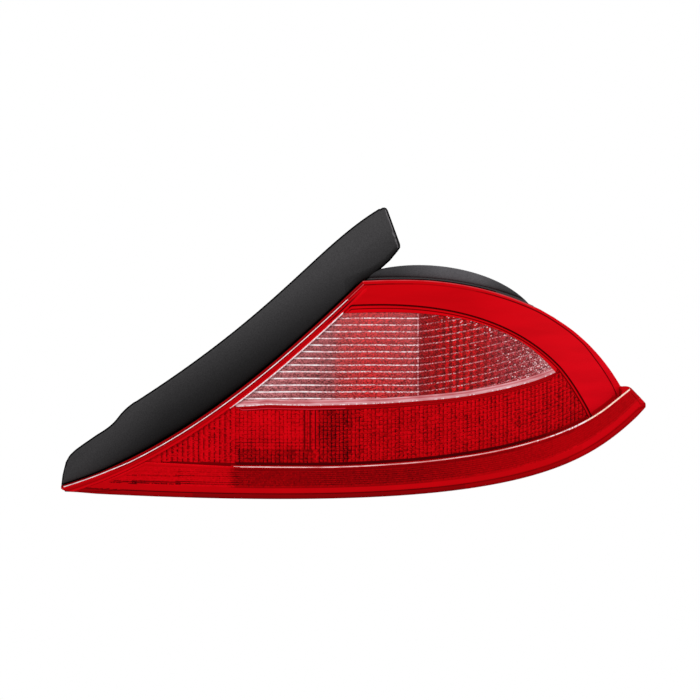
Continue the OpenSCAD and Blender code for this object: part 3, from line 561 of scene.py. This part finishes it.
CREST_ROWS = [0, 0.15, 0.5, 0.9, 1.3, 1.65, 2.0, 2.6]
FOOT_ROWS = [9.2, 8.6, 7.2, 5.6, 4.6, 4.2, 3.8, 3.2, 2.0, 1.0, 0.5, 0.2, 0]
CREST_SHAPE = ([0, 0.15, 0.5, 0.9, 2.0], [1.6, 0.9, 0.3, 0.05, 0])
FOOT_SHAPE = ([0, 0.2, 0.5, 1.0, 2.0, 3.2, 3.8, 4.6], [1.2, 0.7, 0.35, 0.1, 0.1, 0.3, 0.6, 0])
LIP_ROW = 0.8
# Dark lines of the lip's left part: from and to above the foot, and how dark
LEFT_LINES = [(10.7, 11.6, 2.9), (12.3, 13.2, 2.7), (17.1, 18.0, 2.2), (20.3, 21.2, 0.9)]


def lip_tone(x, down, up, rib):
    """How dark the lip is: fine ribs above, a lighter band, a groove and a dark foot."""
    shade_x = [px(v) for v in (90, 228, 236, 300, 420, 480, 560, 646)]
    face = np.interp(x, shade_x, [0.35, 0.6, 2.1, 2.4, 2.5, 1.9, 1.7, 1.7])
    weight = np.interp(x, shade_x, [0.4, 0.6, 1.1, 1.0, 0.9, 0.7, 0.35, 0.2])
    spread = np.interp(x, shade_x, [0.3, 0.4, 0.35, 0.3, 0.3, 0.2, 0.1, 0.1])
    tone = face + weight * rib + spread * rng.normal(0, 1, x.shape)
    left_x = [px(v) for v in (99, 105, 140, 165, 190, 215)]
    drop = np.interp(x, [px(110), px(198)], [1.6, 0])
    for start, stop, dark in LEFT_LINES:
        ruled = (up > start - drop) & (up < stop - drop) & (x < px(240)) & (down > 2)
        weight = np.interp(x, left_x, [0, 0.5, 0.6, 0.9, 0.75, 0.5])
        tone += dark * weight * ruled * (rng.random(x.shape) > 0.07)
    streak = (up > LEFT_LINES[0][0] - drop) & (up < LEFT_LINES[1][1] - drop) & (down > 2)
    tone += streak * np.interp(x, left_x, [0, 1.6, 1.8, 0.8, 0.2, 0])
    tone = np.where((down < 3.6) & (down > 1.6), np.interp(x, shade_x, [0.8, 0.8, 2.8, 3.2, 3.2, 3.0, 2.4, 1.4]), tone)
    band = np.interp(x, shade_x, [0.8, 0.8, 1.1, 1.2, 1.2, 1.0, 0.8, 0.6])
    tone = np.where(up < 9.0, band, tone)
    tone = np.where((up < 9.6) & (up > 8.6), np.interp(x, shade_x, [0.9, 1.2, 2.6, 2.4, 2.4, 1.6, 0.7, 0.4]), tone)
    tone = np.where((up < 4.6) & (up > 3.6), np.interp(x, shade_x, [3.6, 4.2, 3.6, 3.6, 3.4, 2.6, 2.1, 1.6]), tone)
    return np.where(up < 3.6, np.interp(x, shade_x, [2.6, 2.8, 2.9, 2.9, 2.9, 2.7, 2.3, 1.8]), tone)


def lens_lip():
    height = (lip_top_z - bottom_z)[:, None]
    fit = np.clip(height / 18, 0.02, 1)
    crest = lip_top_z[:, None] - np.array([CREST_ROWS]) * fit * np.minimum(lip_line.stretch(X), 1.6)
    face_rows = np.arange(FOOT_ROWS[0] + LIP_ROW, height.max(), LIP_ROW)[::-1]
    rows = np.concatenate([face_rows, FOOT_ROWS])[None, :]
    crest = np.maximum(crest, bottom_z[:, None])
    foot = bottom_z[:, None] + rows * fit * np.minimum(low.stretch(X), 1.6)
    foot = np.minimum(foot, crest[:, -1:])
    z = np.hstack([crest[:, :1], crest, foot, foot[:, -1:]])
    x = np.broadcast_to(X, z.shape)
    down = (lip_top_z[:, None] - z) / np.minimum(lip_line.stretch(x), 1.6) / fit
    up = (z - bottom_z[:, None]) / np.minimum(low.stretch(x), 1.6) / fit
    ribs = np.arange(z.shape[1]) % 2
    ribs[: crest.shape[1] + 1] = 0
    ribs[-len(FOOT_ROWS) - 1 :] = 0
    d = np.interp(down, *CREST_SHAPE) + np.interp(up, *FOOT_SHAPE) + 0.22 * ribs[None, :] * (height > 12)
    y = lip_y(x, z, d)
    y[:, 0] = face_y(x[:, 0], z[:, 0], RECESS_D + 1.2)
    y[:, -1] = skirt_y(x[:, -1], z[:, -1])
    xc, zc = centres(x), centres(z)
    down_c, up_c = centres(down), centres(up)
    tone = lip_tone(xc, down_c, up_c * centres(np.broadcast_to(fit, z.shape)), np.broadcast_to(ribs[None, 1:], xc.shape))
    end_line = distance_to(seen((631, 394), (641, 405)), xc, zc)
    tone = np.where(end_line < 0.5, 2.2, tone)
    level = shade(np.clip(tone, 0, 5))
    # The light line along the lip's top edge is a painted highlight: dim pink, then white, then warm towards the right
    # end
    reach = np.interp(xc, [px(v) for v in (231, 246, 560, 586)], [0.1, 1.0, 1.0, 1.35]) * (xc < px(628.4))
    lit = (down_c > 0.1) & (down_c < reach)
    change = px(520) + 60 * rng.random((len(xc), 1))
    level = np.where(lit, np.select([xc > px(585), xc > change], [LIP_END_PAINTED_HIGHLIGHT, GLINT], CREST_PAINTED_HIGHLIGHT), level)
    level = np.where((down_c <= 0.1) & (xc < px(628.4)), shade(3.4), level)
    level[:, 0], level[:, -1] = shade(3.6), shade(3)
    return grid_piece("lens_lip", *with_caps(x, y, z, level, shade(2), skirt_y), lens_mats)


# Clear window: round flutes that fan out to the right

FLUTE = 5.32
FLUTE_BASE = pz(318.4)
FAN_START = px(417)
FLUTE_CUT = np.array([0, 0.09, 0.2, 0.35, 0.5, 0.65, 0.8, 0.91])
BODY, LINE, DOTTED, DOT, BLUSH_LIGHT, BLUSH_DARK, BRIGHT = range(7)


def fan(x):
    d = np.maximum(x - FAN_START, 0)
    return 0.1 * d + 0.0013 * d * d


def window_material():
    """Pink and grainy at the left, redder in the middle, dark then bright past the fan's start, with white specks of
    painted sparkle highlight that grow towards the right end.
    """
    s = Shader("window_flute", specular_ior_level=0.1, roughness=0.25)
    along = s.along(*WINDOW_SPAN)
    ground = s.ramp(along, [
        (0.0, (206, 128, 132)), (0.2, (190, 100, 104)), (0.3, (172, 80, 84)), (0.33, (206, 64, 66)), (0.42, (222, 40, 44)),
        (0.55, (202, 58, 62)), (0.572, (156, 16, 24)), (0.62, (186, 10, 18)), (0.665, (226, 12, 22)), (0.72, (232, 16, 24)),
        (0.77, (214, 26, 34)), (0.83, (190, 44, 54)), (0.92, (176, 58, 66)), (1.0, (196, 112, 118)),
    ])
    grain = s.noise(900, 4)
    speck = s.ramp(grain, [(0.38, (150, 128, 130)), (0.56, (255, 255, 255))])
    rows = s.ramp(s.noise(1300, 2, (0.3, 1, 1)), [(0.36, (176, 160, 160)), (0.56, (255, 255, 255))])
    body = s.mix(1.0, s.mix(1.0, ground, speck, "MULTIPLY"), rows, "MULTIPLY")
    paler = s.ramp(s.upward(px_low=402, px_high=316), [(0.2, (0, 0, 0)), (0.95, (90, 90, 90))])
    before_fan = s.ramp(along, [(0.56, (255, 255, 255)), (0.58, (30, 30, 30))])
    paler = s.mix(1.0, paler, before_fan, "MULTIPLY")
    body = s.mix(paler, body, linear((206, 140, 142)))
    wave = s.add("ShaderNodeTexWave", {"Vector": s.place, "Scale": 57.0, "Distortion": 0.8}, bands_direction="X")
    stripes = s.ramp(wave.outputs["Fac"], [(0.2, (158, 120, 120)), (0.75, (255, 255, 255))])
    columns = s.ramp(along, [(0.6, (0, 0, 0)), (0.66, (255, 255, 255)), (0.8, (200, 200, 200)), (0.92, (0, 0, 0))])
    body = s.mix(columns, body, s.mix(1.0, body, stripes, "MULTIPLY"))
    # White specks of painted sparkle highlight
    spark = s.ramp(s.noise(1300, 2), [(0.6, (0, 0, 0)), (0.66, (255, 255, 255))])
    reach = s.ramp(along, [(0.0, (150, 150, 150)), (0.3, (60, 60, 60)), (0.55, (90, 90, 90)), (0.6, (10, 10, 10)), (0.78, (50, 50, 50)), (0.9, (150, 150, 150)), (1.0, (255, 255, 255))])
    amount = s.mix(1.0, spark, reach, "MULTIPLY")
    s.set("Base Color", s.mix(amount, body, linear((236, 208, 210))))
    s.bump(grain, 0.5, 0.05)
    return s.material


def speckled_material(name, dark, light, grain, stretch=(1, 1, 1)):
    s = Shader(name, specular_ior_level=0.1, roughness=0.3)
    s.set("Base Color", s.ramp(s.noise(grain, 3, stretch), [(0.38, dark), (0.58, light)]))
    s.bump(s.noise(900, 2), 0.5, 0.03)
    return s.material


def window_level(x, phase, above_foot, under_head):
    """Which finish each facet of the window has. The light lines along the flutes, the sparkle dots and the white line
    at the foot are painted highlights.
    """
    chance = rng.random(x.shape)
    half_line = np.where(x < px(335), 0.1, 0.08)
    line = (phase < half_line) | (phase > 1 - half_line)
    middle, fanned = (x > px(335)) & (x < FAN_START), x > FAN_START
    level = np.where(line, np.where(x < px(320), BRIGHT, LINE), BODY)
    level = np.where(line & middle & (chance < 0.35), DOTTED, level)
    level = np.where(line & fanned, np.where(chance < 0.08, DOT, DOTTED), level)
    level = np.where(line & fanned & (chance > 0.72), BODY, level)
    sparkle = np.interp(x, [px(v) for v in (470, 500, 525, 555)], [0.0, 0.01, 0.05, 0.3])
    near_top = np.interp(under_head, [0, 3, 9], [0.07, 0.03, 0.0]) * (x > px(430))
    level = np.where((chance < sparkle + near_top) & ~line, DOT, level)
    level = np.where(np.abs(x - FAN_START) < 0.55, np.where(line, LINE, np.where(chance < 0.75, DOTTED, BODY)), level)
    level = np.where(above_foot < 4.4, BLUSH_DARK, level)
    level = np.where((above_foot < 4.0) & (above_foot > 3.4), BLUSH_LIGHT, level)
    level = np.where(above_foot < 2.1, BLUSH_LIGHT, level)
    level = np.where(above_foot < 0.9, np.where((x < px(305)) | (chance < 0.3), LINE, BLUSH_LIGHT), level)
    return level


def clear_window():
    cells = int(np.ceil((window_top(px(380)) + fan(WINDOW_SPAN[1]) + FLUTE - window_low(px(300))) / FLUTE)) + 1
    k = np.arange(cells)[:, None]
    steps = ((k + FLUTE_CUT[None, :]) * FLUTE).reshape(-1)
    inside = np.where((win_top_z - win_low_z) > 0.01)[0]
    first, last = inside[0] - 1, inside[-1] + 1
    x = X[first : last + 1]
    head, foot = win_top_z[first : last + 1, None], win_low_z[first : last + 1, None]
    start = FLUTE_BASE + FLUTE * np.ceil((window_top(px(380)) - FLUTE_BASE) / FLUTE)
    sag = 0.12 * np.sin(x / 9.0) * (x < FAN_START)
    z = np.clip(start - steps[None, :] + fan(x) + sag, foot, head)
    z = np.hstack([head, z])
    edge = [4.4, 4.0, 3.4, 2.1, 0.9, 0.0]
    z = np.hstack([np.maximum(z, np.minimum(foot + edge[0], head)), np.minimum(foot + np.array([edge]), head)])
    x = np.broadcast_to(x, z.shape)
    phase = ((start + fan(x) + sag - z) / FLUTE) % 1.0
    d = RECESS_D + 1.0 - 0.9 * np.sin(np.pi * phase)
    d[:, -len(edge) :] = RECESS_D + np.array([0.3, 0.2, 0.1, 0.0, -0.1, 0.0])
    d[:, 0] = RECESS_D + 0.3
    xc, zc = centres(x), centres(z)
    ph = ((start + fan(xc) + centres(np.broadcast_to(sag, z.shape)) - zc) / FLUTE) % 1.0
    above_foot = zc - centres(np.broadcast_to(foot, z.shape))
    under_head = centres(np.broadcast_to(head, z.shape)) - zc
    # The line, dotted line, dot and bright line finishes are painted highlights
    mats = [
        window_material(),
        speckled_material("window_line", (204, 138, 142), (242, 218, 222), 500),
        speckled_material("window_dotted_line", (144, 36, 44), (200, 128, 134), 900),
        speckled_material("window_dot", (196, 122, 128), (236, 204, 206), 900),
        speckled_material("window_blush_light", (196, 116, 122), (218, 160, 166), 260, (0.2, 1, 1)),
        speckled_material("window_blush_dark", (178, 84, 90), (198, 112, 118), 260, (0.2, 1, 1)),
        speckled_material("window_bright_line", (224, 186, 190), (250, 240, 242), 260),
    ]
    levels = window_level(xc, ph, above_foot, under_head)
    piece = grid_piece("window_flutes", x, face_y(x, z, d), z, levels, mats, 50)
    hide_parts("clear_window")
    return piece


RIM_SPAN = (px(230.5), px(343.5))
RIM_ROWS = [0.45, 0.2, -0.2, -0.6, -0.85]
RIM_TOOTH = 0.55


def window_rim():
    """The window's edge along the slanted border, cut into fine teeth and painted bright as a highlight."""
    x = np.arange(*RIM_SPAN, RIM_TOOTH)[:, None]
    narrow = np.interp(x, [RIM_SPAN[0], WINDOW_SPAN[0] + 4], [0.3, 1.0])
    border = np.minimum(window_slant(x), slant.inset(x, SLANT_BORDER))
    z = border + np.array([RIM_ROWS]) * narrow * window_slant.stretch(x)
    tooth = 0.12 * (np.arange(len(x))[:, None] % 2)
    y = face_y(x + 0 * z, z, tooth - 0.15)
    y[:, [0, -1]] += 0.6
    mats = [
        speckled_material("rim_tooth", (228, 204, 208), (252, 244, 246), 500),
        speckled_material("rim_gap", (206, 146, 152), (236, 206, 210), 500),
    ]
    levels = np.arange(len(x) - 1)[:, None] % 2 + np.zeros((1, len(RIM_ROWS) - 1), int)
    return grid_piece("window_rim", x, y, z, levels, mats, 50)


# Corner trim: a crowned black cover with rolled edges and a folded end

TRIM_T, TRIM_ROUND, TRIM_DROP, TRIM_DEEP, TRIM_RIDGE = 1.0, 70.0, 4.0, 22.0, 84.0
SLANT_ANGLE = np.arctan2(LENS_H * 0.93, LENS_LEN * 0.515)
TRIM_LEFT = seen((60.7, 484.4), (61.3, 478), (62.8, 471.5), (65.3, 462), (69.2, 455.3), (75, 449.8), (83.6, 443.6))
TRIM_STEP = bezier([at(-0.44, 0.2897), at(-0.3944, 0.3603), at(-0.4119, 0.3689), at(-0.376, 0.4367)], 14)
TRIM_RISE = bezier([at(-0.372, 0.4422), at(-0.1231, 0.8618), at(-0.0651, 1.1369), at(0.044, 1.3125)], 60)
TRIM_CORNER = seen((380, 209.4), (382.2, 208.1), (384.2, 207.8), (386.3, 208.6), (387.7, 210.8))
TRIM_CUT = seen((387.7, 210.8), (399.6, 243.8), (400.3, 246.6))
TRIM_FOOT = seen((363.5, 281.2), (366.5, 280.4), (370, 278.3), (381.7, 268.3), (390, 260.8), (397.5, 251.7), (399.8, 248.4), (400.4, 246.9))
TRIM_FOLD = seen((397, 245.5), (383, 260), (371, 268), (352, 276))
TRIM_GAP_AT = [px(80), px(130)]
TRIM_GAPS = [0.0, 0.5]


def trim_y(x, z, d):
    """The trim's face is part of a ring that is laid along the slanted edge."""
    dx, dz = x - FACE_C[0], z - FACE_C[2]
    along = dx * np.cos(SLANT_ANGLE) + dz * np.sin(SLANT_ANGLE)
    across = dz * np.cos(SLANT_ANGLE) - dx * np.sin(SLANT_ANGLE)
    big_r = np.sqrt((FACE_R - TRIM_DROP) ** 2 - TRIM_RIDGE**2) - TRIM_ROUND
    small = TRIM_ROUND - d
    reach = big_r + np.sqrt(np.maximum(small**2 - (across - TRIM_RIDGE) ** 2, 1.0))
    return FACE_C[1] - np.sqrt(reach**2 - along**2)


trim_upper = Line(np.vstack([TRIM_LEFT, TRIM_STEP, TRIM_RISE, TRIM_CORNER, TRIM_CUT[1:]]))
slant_points = slant.points[::2]
slant_gaps = np.interp(slant_points[:, 0], TRIM_GAP_AT, TRIM_GAPS)
trim_lower = Line(np.vstack([slant_points + np.stack([0 * slant_gaps, slant_gaps], 1), TRIM_FOOT]))
fold_line = Line(TRIM_FOLD[::-1])
TRIM_EDGE_ROWS = [0, 0.25, 0.5, 0.8, 1.3, 2.1, 3.0, 4.2]
TRIM_EDGE_SHAPE = ([0, 0.3, 0.7, 1.2, 1.9, 2.8, 4.0], [2.2, 1.2, 0.65, 0.35, 0.15, 0.04, 0])
TRIM_FACE_ROWS = 44
SATIN, ROLLED_PAINTED_SHADE, BEVEL = range(3)
# Steps of painted shade below the trim's fold: where each begins, and its tone on the far side
FOLD_STEPS = [0.0, 1.6, 3.6, 6.0]
FOLD_FAR = [56, 49, 42, 35]


def satin_black_painted_light(name, near_lens, far_side, grain=0.85, spec=0.05):
    """Satin black with painted light and shade: dark by the lens, lighter away from it and at both ends."""
    s = Shader(name, specular_ior_level=spec)
    slope = (-float(np.sin(SLANT_ANGLE)), 0.0, float(np.cos(SLANT_ANGLE)))
    across = s.add("ShaderNodeVectorMath", {0: s.place, 1: slope}, operation="DOT_PRODUCT").outputs["Value"]
    ends = s.ramp(s.along(px(62), px(400)), [(0.0, (196, 196, 196)), (0.3, (0, 0, 0)), (0.8, (0, 0, 0)), (1.0, (60, 60, 60))])
    place = s.span(across, 97 * MM, 136 * MM)
    place = s.add("ShaderNodeMath", {0: place, 1: ends}, operation="ADD").outputs[0]
    steps = [near_lens + (far_side - near_lens) * f for f in (0.0, 0.4, 0.85, 1.0)]
    painted_light_tint = s.ramp(place, [(f, (v, v * 0.98, v)) for f, v in zip((0.0, 0.36, 0.8, 1.0), steps)])
    speck = s.ramp(s.noise(1500, 3), [(0.4, (255 * grain,) * 3), (0.6, (255, 255, 255))])
    s.set("Base Color", s.mix(1.0, painted_light_tint, speck, "MULTIPLY"))
    s.set("Roughness", s.span(s.noise(30), 0.3, 0.7, 0.46, 0.58))
    s.bump(s.noise(2600, 2), 0.6, 0.03)
    return s.material


def trim_level(x, z, w):
    # Below the fold the trim is painted darker step by step, as painted shade
    below_fold = (fold_line(x) - z) * np.clip((x - px(345)) / 14, 0, 1)
    level = np.where(below_fold > 0, BEVEL + np.searchsorted(FOLD_STEPS, below_fold), SATIN)
    # A light line of painted highlight runs along the bevel of the cut end
    cut = distance_to(TRIM_CUT, x, z)
    start = np.interp(z, [pz(244), pz(212)], [1.9, 1.4])
    level = np.where((cut > start) & (cut < start + 0.8) & (w > 1.1), BEVEL, level)
    # A dark rim of painted shade runs along the trim's edges and its end walls
    return np.where(w < 1.1, ROLLED_PAINTED_SHADE, level)


def corner_trim():
    x0, x1 = trim_upper.points[0, 0], trim_upper.points[-1, 0]
    x = np.concatenate([np.linspace(x0, px(368), 270), np.linspace(px(368.4), x1 - 0.2, 90)])[:, None]
    upper = trim_upper(x)
    lower = np.minimum(trim_lower(x), upper - 0.02)
    near = np.array([TRIM_EDGE_ROWS])
    half = (upper - lower) / 2 * near / 4.6
    head = upper - np.minimum(near * np.minimum(trim_upper.stretch(x), 3), half)
    foot = (lower + np.minimum(near * trim_lower.stretch(x), half))[:, ::-1]
    share = np.linspace(0, 1, TRIM_FACE_ROWS + 1)[None, 1:-1]
    z = np.hstack([upper, head, head[:, -1:] * (1 - share) + foot[:, :1] * share, foot, lower])
    x = np.broadcast_to(x, z.shape)
    w = np.minimum(distance_to(trim_upper.points, x, z), distance_to(trim_lower.points[::2], x, z))
    d = np.interp(w, *TRIM_EDGE_SHAPE)
    drop = np.maximum(fold_line(x) - z, 0) * np.clip((x - px(350)) / 16, 0, 1)
    y = trim_y(x, z, d + 0.35 * drop)
    y[:, 0] = face_y(x[:, 0], z[:, 0], TRIM_DROP + TRIM_DEEP)
    y[:, -1] = face_y(x[:, -1], z[:, -1], 18.0)
    xc, zc = centres(x), centres(z)
    levels = trim_level(xc, zc, centres(w))

    def back(x, z):
        return face_y(x, z, TRIM_DROP + TRIM_DEEP - 4)

    mats = [
        satin_black_painted_light("trim_satin_black_painted_light", 20, 60),
        satin_black_painted_light("trim_rolled_edge_painted_shade", 6, 14, spec=0.0),
        satin_black_painted_light("trim_bevel_painted_highlight", 84, 104, spec=0.0),
    ] + [satin_black_painted_light(f"trim_fold_painted_shade_{far}", 14, far) for far in FOLD_FAR]
    piece = grid_piece("trim_cover", *with_caps(x, y, z, levels, ROLLED_PAINTED_SHADE, back), mats, 50)
    shell = piece.modifiers.new("wall", "SOLIDIFY")
    shell.thickness = TRIM_T * MM
    shell.offset = -1
    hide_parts("corner_trim")
    return piece


# Brow: the housing's rounded top above the lens, with a double seam at its foot

BROW_SPAN = (px(366), px(533))
BROW_FRONT, BROW_BULGE, BROW_ROOT = 8.7, 2.0, 12.0
SEAM_ROWS = [2.2, 1.6, 0.9, 0.5, 0.1]
SEAM_LEVELS = [2, 2, 1, 1]
SEAM_FADE = px(495)


def brow_material():
    s = Shader("brow_black_painted_light", specular_ior_level=0.05)
    along = s.along(*BROW_SPAN)
    # The tint along the brow is painted light: lightest over the middle, darker towards both ends
    painted_light_tint = s.ramp(along, [(0.0, (46, 45, 47)), (0.2, (58, 57, 59)), (0.45, (86, 84, 87)), (0.68, (86, 84, 87)), (0.8, (62, 61, 63)), (1.0, (38, 38, 39))])
    speck = s.ramp(s.noise(1500, 3), [(0.4, (222, 222, 222)), (0.6, (255, 255, 255))])
    s.set("Base Color", s.mix(1.0, painted_light_tint, speck, "MULTIPLY"))
    s.set("Roughness", s.span(s.noise(30), 0.3, 0.7, 0.46, 0.58))
    s.bump(s.noise(2600, 2), 0.6, 0.03)
    return s.material


def brow():
    x = np.linspace(*BROW_SPAN, 170)[:, None]
    foot = top(x) + 0.1
    head = np.maximum(brow_line(x) + 0.15, foot + 0.45)
    seam = np.minimum(foot - 0.1 + np.array([SEAM_ROWS]) * top.stretch(x), head)
    share = np.linspace(0, 1, 25)[None, :-1]
    z = np.hstack([head, head * (1 - share) + seam[:, :1] * share, seam])
    x = np.broadcast_to(x, z.shape)
    f = np.clip((z - seam[:, :1]) / (head - seam[:, :1] + 0.01), 0, 1)
    size = np.clip((head - foot) / 8, 0, 1)
    d = BROW_FRONT - BROW_BULGE * size * np.sqrt(np.clip(1 - (2 * f - 1) ** 2, 0, 1))
    y = face_y(x, z, d)
    y[:, 0] = face_y(x[:, 0], z[:, 0], BROW_ROOT)
    levels = np.zeros((z.shape[0] - 1, z.shape[1] - 1), int)
    levels[:, -len(SEAM_LEVELS) :] = np.where(x[:-1, :1] < SEAM_FADE, SEAM_LEVELS, 2)
    levels[:, :2] = 0
    mats = [
        brow_material(),
        satin_black_painted_light("brow_seam_black", 3, 6, spec=0.0),
        satin_black_painted_light("brow_seam_grey", 66, 84),
    ]
    return grid_piece("housing_brow", x, y, z, levels, mats, 60)


lens_frame()
lens_band()
lens_panel()
lens_lip()
clear_window()
window_rim()
corner_trim()
brow()


# Finishes of the CAD nodes

black = plastic("housing_black", (24, 24, 25), (38, 38, 39), 40, 0.5, 1500, 0.04, 0.15)
rubber = plastic("rubber", (22, 22, 23), (36, 36, 37), 60, 0.8, 900, 0.08, 0.2)
foam = plastic("gasket_foam", (30, 30, 32), (52, 52, 54), 420, 0.95, 700, 0.3, 0.1)
white = plastic("carrier_white", (196, 194, 186), (214, 212, 205), 30, 0.45, 900, 0.03, 0.4)
zinc = plastic("zinc", (150, 148, 138), (196, 194, 184), 120, 0.34, 1200, 0.02, 0.5, 0.0, 1.0)
brass = plastic("brass", (176, 140, 70), (208, 172, 96), 120, 0.3, 1200, 0.02, 0.5, 0.0, 1.0)
silver = plastic("reflector_silver", (190, 190, 192), (226, 226, 228), 30, 0.16, 900, 0.02, 0.5, 0.0, 1.0)
amber = plastic("amber_glass", (226, 120, 20), (238, 140, 34), 30, 0.1, 500, 0.01, 0.5, 0.5)
glass = plastic("bulb_glass", (206, 212, 214), (226, 230, 232), 30, 0.06, 500, 0.01, 0.5, 0.5)
reflex = plastic("reflex_red", (96, 0, 4), (140, 0, 6), 300, 0.25, 500, 0.1, 0.4)
FINISHES = {
    "lamp_housing": black, "lens_sealant": rubber, "carrier_seal": rubber, "body_gasket": foam,
    "breather_caps": rubber, "bulb_carrier": white, "bulb_sockets": zinc, "reflector": silver,
    "reflector_screws": zinc, "carrier_screws": zinc, "trim_clips": zinc, "mounting_studs": zinc,
    "earth_strip": brass, "live_strips": brass, "connector_pins": brass, "turn_bulb_glass": amber,
    "reverse_bulb_glass": glass, "stop_bulb_glass": glass, "fog_bulb_glass": glass,
    "turn_bulb_cap": brass, "reverse_bulb_cap": brass, "stop_bulb_cap": brass, "fog_bulb_cap": brass,
    "cap_insulators": rubber, "bulb_contacts": zinc, "filaments": zinc, "reflex_strip": reflex,
}
for name, node in nodes.items():
    if name in FINISHES:
        node.data.materials.clear()
        node.data.materials.append(FINISHES[name])


# Light, backdrop and camera


def studio():
    """White all round to the camera and to gloss, and a softer fill for the rest."""
    world = bpy.data.worlds.new("studio")
    bpy.context.scene.world = world
    world.use_nodes = True
    tree = world.node_tree
    tree.nodes.clear()
    path = tree.nodes.new("ShaderNodeLightPath")
    fill, backdrop = tree.nodes.new("ShaderNodeBackground"), tree.nodes.new("ShaderNodeBackground")
    fill.inputs["Strength"].default_value = 0.62
    seen = path.outputs["Is Camera Ray"]
    for ray in ("Is Glossy Ray", "Is Transmission Ray"):
        either = tree.nodes.new("ShaderNodeMath")
        either.operation = "MAXIMUM"
        tree.links.new(seen, either.inputs[0])
        tree.links.new(path.outputs[ray], either.inputs[1])
        seen = either.outputs[0]
    mix, out = tree.nodes.new("ShaderNodeMixShader"), tree.nodes.new("ShaderNodeOutputWorld")
    for colour in (fill, backdrop):
        colour.inputs["Color"].default_value = (1, 1, 1, 1)
    tree.links.new(seen, mix.inputs[0])
    tree.links.new(fill.outputs[0], mix.inputs[1])
    tree.links.new(backdrop.outputs[0], mix.inputs[2])
    tree.links.new(mix.outputs[0], out.inputs[0])


def lamp(name, place, aim, size, power):
    data = bpy.data.lights.new(name, "AREA")
    data.shape, data.size, data.energy = "DISK", size, power
    thing = bpy.data.objects.new(name, data)
    thing.location = place
    thing.rotation_euler = (Vector(aim) - Vector(place)).to_track_quat("-Z", "Y").to_euler()
    bpy.context.scene.collection.objects.link(thing)


CAMERA_LENS, SENSOR = 500.0, 36.0


def camera():
    """A long lens that frames the lamp as the photograph does."""
    data = bpy.data.cameras.new("camera")
    data.lens, data.sensor_width, data.clip_end = CAMERA_LENS, SENSOR, 100
    thing = bpy.data.objects.new("camera", data)
    away = PHOTO_PX * PX_MM * CAMERA_LENS / SENSOR
    face = FACE_C[1] - FACE_R + 50
    thing.location = (PHOTO_MID[0] * MM, (face - away) * MM, PHOTO_MID[1] * MM)
    thing.rotation_euler = (np.pi / 2, 0, 0)
    bpy.context.scene.collection.objects.link(thing)
    bpy.context.scene.camera = thing


MIDDLE = (PHOTO_MID[0] * MM, 0, 0.02)
studio()
lamp("key", (-0.9, -1.3, 1.6), MIDDLE, 0.9, 22)
lamp("fill", (1.1, -1.5, 0.5), MIDDLE, 1.0, 9)
lamp("back", (0.3, 1.4, 0.9), MIDDLE, 0.9, 12)
camera()
bpy.context.scene.view_settings.view_transform = "Standard"
